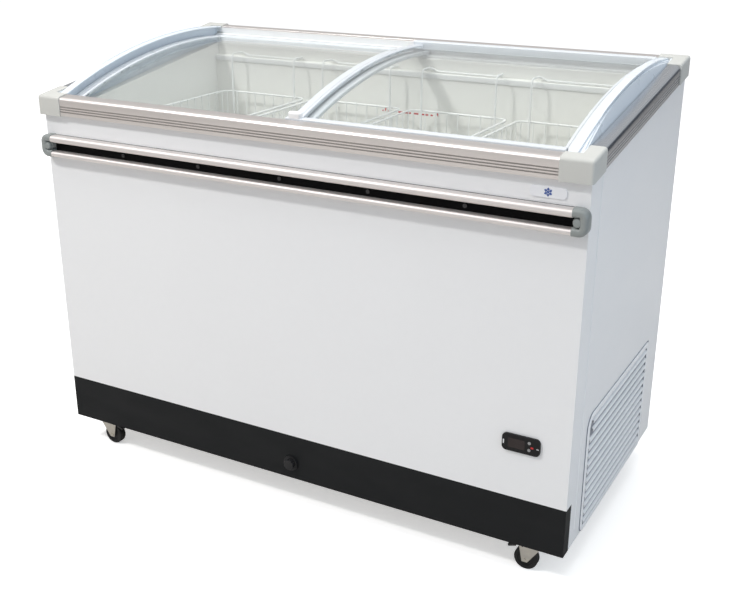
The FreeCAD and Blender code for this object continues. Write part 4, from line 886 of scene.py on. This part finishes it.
def snowflake(looks):
    """Generic six-armed snowflake on the badge."""
    low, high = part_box("name_badge")
    centre = Vector(((low.x + high.x) / 2, low.y - 0.0004, (low.z + high.z) / 2))
    arm = 0.0078
    half_w = 0.0006

    def bar(bm, start, end):
        along = (end - start).normalized()
        side = along.cross(Y) * half_w
        add_plate(bm, [start - side, end - side, end + side, start + side], -Y, 0.0005)

    def build(bm):
        for i in range(6):
            angle = math.pi * (i / 3 + 1 / 2)
            out = Vector((math.cos(angle), 0, math.sin(angle)))
            bar(bm, centre, centre + out * arm)
            for share, length in ((0.45, 0.0026), (0.72, 0.0020)):
                fork = centre + out * arm * share
                for turn in (-math.pi / 3, math.pi / 3):
                    twig = Vector((math.cos(angle + turn), 0, math.sin(angle + turn)))
                    bar(bm, fork, fork + twig * length)
    new_object("badge_snowflake", mesh_of("snowflake", build), looks["mark_blue"], "root")


def controller_marks(looks):
    """Printed dash, end mark and red lamp on the controller's face."""
    low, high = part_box("controller_case")
    x = (low.x + high.x) / 2
    z = (low.z + high.z) / 2
    y = low.y - 0.0001
    marks = (("controller_lamp", "mark_red", x + 0.020, x + 0.0255, z - 0.0035, z + 0.0005),
             ("controller_dash", "mark_white", x + 0.0315, x + 0.0365, z - 0.0026, z - 0.0012),
             ("controller_end_mark", "mark_white", x - 0.0365, x - 0.0340, z - 0.0050, z + 0.0040))
    for name, look, x0, x1, z0, z1 in marks:
        def build(bm):
            add_plate(bm, facing_front(x0, x1, z0, z1, y, 0.0006), -Y, 0.0002)
        new_object(name, mesh_of(name, build), looks[look], "root")


# Studio -------------------------------------------------------------------------------------------

def camera():
    data = bpy.data.cameras.new("camera")
    data.sensor_width = 36.0
    data.lens = 52.31
    data.clip_end = 200.0
    eye = bpy.data.objects.new("camera", data)
    eye.location = (1.1326, -2.0044, 1.2774)
    eye.rotation_euler = Vector((-0.45365, 0.81630, -0.35757)).to_track_quat("-Z", "Y").to_euler()
    bpy.context.scene.collection.objects.link(eye)
    bpy.context.scene.camera = eye


def area_light(name, place, size, power, colour):
    data = bpy.data.lights.new(name, "AREA")
    data.shape = "DISK"
    data.size = size
    data.energy = power
    data.color = colour
    lamp = bpy.data.objects.new(name, data)
    lamp.location = place
    target = Vector((0, 0, 0.6))
    lamp.rotation_euler = (target - Vector(place)).to_track_quat("-Z", "Y").to_euler()
    bpy.context.scene.collection.objects.link(lamp)
    return lamp


def floor():
    """Wide pale floor, seen from above only."""
    bpy.ops.mesh.primitive_plane_add(size=80)
    plane = bpy.context.object
    plane.name = "floor"
    material = bpy.data.materials.new("floor")
    material.use_nodes = True
    tree = material.node_tree
    tree.nodes.clear()
    out = tree.nodes.new("ShaderNodeOutputMaterial")
    path = tree.nodes.new("ShaderNodeLightPath")
    tone = tree.nodes.new("ShaderNodeMix")
    tone.data_type = "RGBA"
    tone.inputs["A"].default_value = (0.62, 0.60, 0.58, 1)
    tone.inputs["B"].default_value = (0.95, 0.95, 0.95, 1)
    matt = tree.nodes.new("ShaderNodeBsdfDiffuse")
    glow = tree.nodes.new("ShaderNodeEmission")
    lift = tree.nodes.new("ShaderNodeMath")
    lift.operation = "MULTIPLY"
    lift.inputs[1].default_value = 0.45
    total = tree.nodes.new("ShaderNodeAddShader")
    clear = tree.nodes.new("ShaderNodeBsdfTransparent")
    sides = tree.nodes.new("ShaderNodeMixShader")
    geometry = tree.nodes.new("ShaderNodeNewGeometry")
    tree.links.new(path.outputs["Is Camera Ray"], tone.inputs["Factor"])
    tree.links.new(path.outputs["Is Camera Ray"], lift.inputs[0])
    tree.links.new(tone.outputs["Result"], matt.inputs["Color"])
    tree.links.new(lift.outputs["Value"], glow.inputs["Strength"])
    tree.links.new(matt.outputs["BSDF"], total.inputs[0])
    tree.links.new(glow.outputs["Emission"], total.inputs[1])
    tree.links.new(geometry.outputs["Backfacing"], sides.inputs["Fac"])
    tree.links.new(total.outputs["Shader"], sides.inputs[1])
    tree.links.new(clear.outputs["BSDF"], sides.inputs[2])
    tree.links.new(sides.outputs["Shader"], out.inputs["Surface"])
    plane.data.materials.append(material)


def flag():
    """Dark card beside the studio that only reflections see; it shades the right-hand metal."""
    bpy.ops.mesh.primitive_plane_add(size=1)
    card = bpy.context.object
    card.name = "flag"
    card.scale = (5.0, 2.4, 1)
    card.rotation_euler = (math.radians(90), 0, math.radians(90))
    card.location = (2.1, 2.4, 0.90)
    card.visible_camera = False
    card.visible_diffuse = False
    card.visible_shadow = False
    card.visible_transmission = False
    material = bpy.data.materials.new("flag")
    material.use_nodes = True
    material.node_tree.nodes["Principled BSDF"].inputs["Base Color"].default_value = (0.045, 0.055, 0.075, 1)
    card.data.materials.append(material)


def world():
    """Pale surroundings: brighter overhead, cooler to the right, white where the camera sees them."""
    sky = bpy.data.worlds.new("studio")
    bpy.context.scene.world = sky
    sky.use_nodes = True
    tree = sky.node_tree
    background = tree.nodes["Background"]
    coordinates = tree.nodes.new("ShaderNodeTexCoord")
    axes = tree.nodes.new("ShaderNodeSeparateXYZ")
    across = tree.nodes.new("ShaderNodeMapRange")
    across.inputs["From Min"].default_value = -0.5
    across.inputs["From Max"].default_value = 1.0
    side = tree.nodes.new("ShaderNodeMix")
    side.data_type = "RGBA"
    side.inputs["A"].default_value = (0.33, 0.325, 0.32, 1)
    side.inputs["B"].default_value = (0.30, 0.36, 0.43, 1)
    height = tree.nodes.new("ShaderNodeMapRange")
    height.inputs["From Min"].default_value = 0.0
    height.inputs["From Max"].default_value = 1.0
    dome = tree.nodes.new("ShaderNodeMix")
    dome.data_type = "RGBA"
    dome.inputs["B"].default_value = (0.80, 0.80, 0.80, 1)
    path = tree.nodes.new("ShaderNodeLightPath")
    seen = tree.nodes.new("ShaderNodeMix")
    seen.data_type = "RGBA"
    seen.inputs["B"].default_value = (1, 1, 1, 1)
    tree.links.new(coordinates.outputs["Generated"], axes.inputs["Vector"])
    tree.links.new(axes.outputs["X"], across.inputs["Value"])
    tree.links.new(axes.outputs["Z"], height.inputs["Value"])
    tree.links.new(across.outputs["Result"], side.inputs["Factor"])
    tree.links.new(height.outputs["Result"], dome.inputs["Factor"])
    tree.links.new(side.outputs["Result"], dome.inputs["A"])
    tree.links.new(path.outputs["Is Camera Ray"], seen.inputs["Factor"])
    tree.links.new(dome.outputs["Result"], seen.inputs["A"])
    tree.links.new(seen.outputs["Result"], background.inputs["Color"])


def studio():
    world()
    floor()
    flag()
    camera()
    area_light("key", (-1.9, -2.6, 3.9), 0.5, 90, (1.0, 0.985, 0.97))
    area_light("top_fill", (0.2, -0.2, 3.4), 2.6, 42, (1.0, 1.0, 0.985)).visible_glossy = False
    area_light("cool_fill", (3.6, -1.0, 1.9), 2.4, 19, (0.50, 0.74, 1.0))
    area_light("back_fill", (-0.5, 4.0, 2.5), 2.4, 25, (1.0, 1.0, 1.0)).visible_glossy = False
    bpy.context.scene.view_settings.view_transform = "Standard"


def main():
    looks = make_looks()
    dress_cad_nodes(looks)
    rims(looks)
    end_arches(looks)
    bumper_caps(looks)
    vent_louvres(looks)
    corner_caps(looks)
    lids(looks)
    baskets(looks)
    ledge_strips(looks)
    load_line(looks)
    snowflake(looks)
    controller_marks(looks)
    studio()


main()
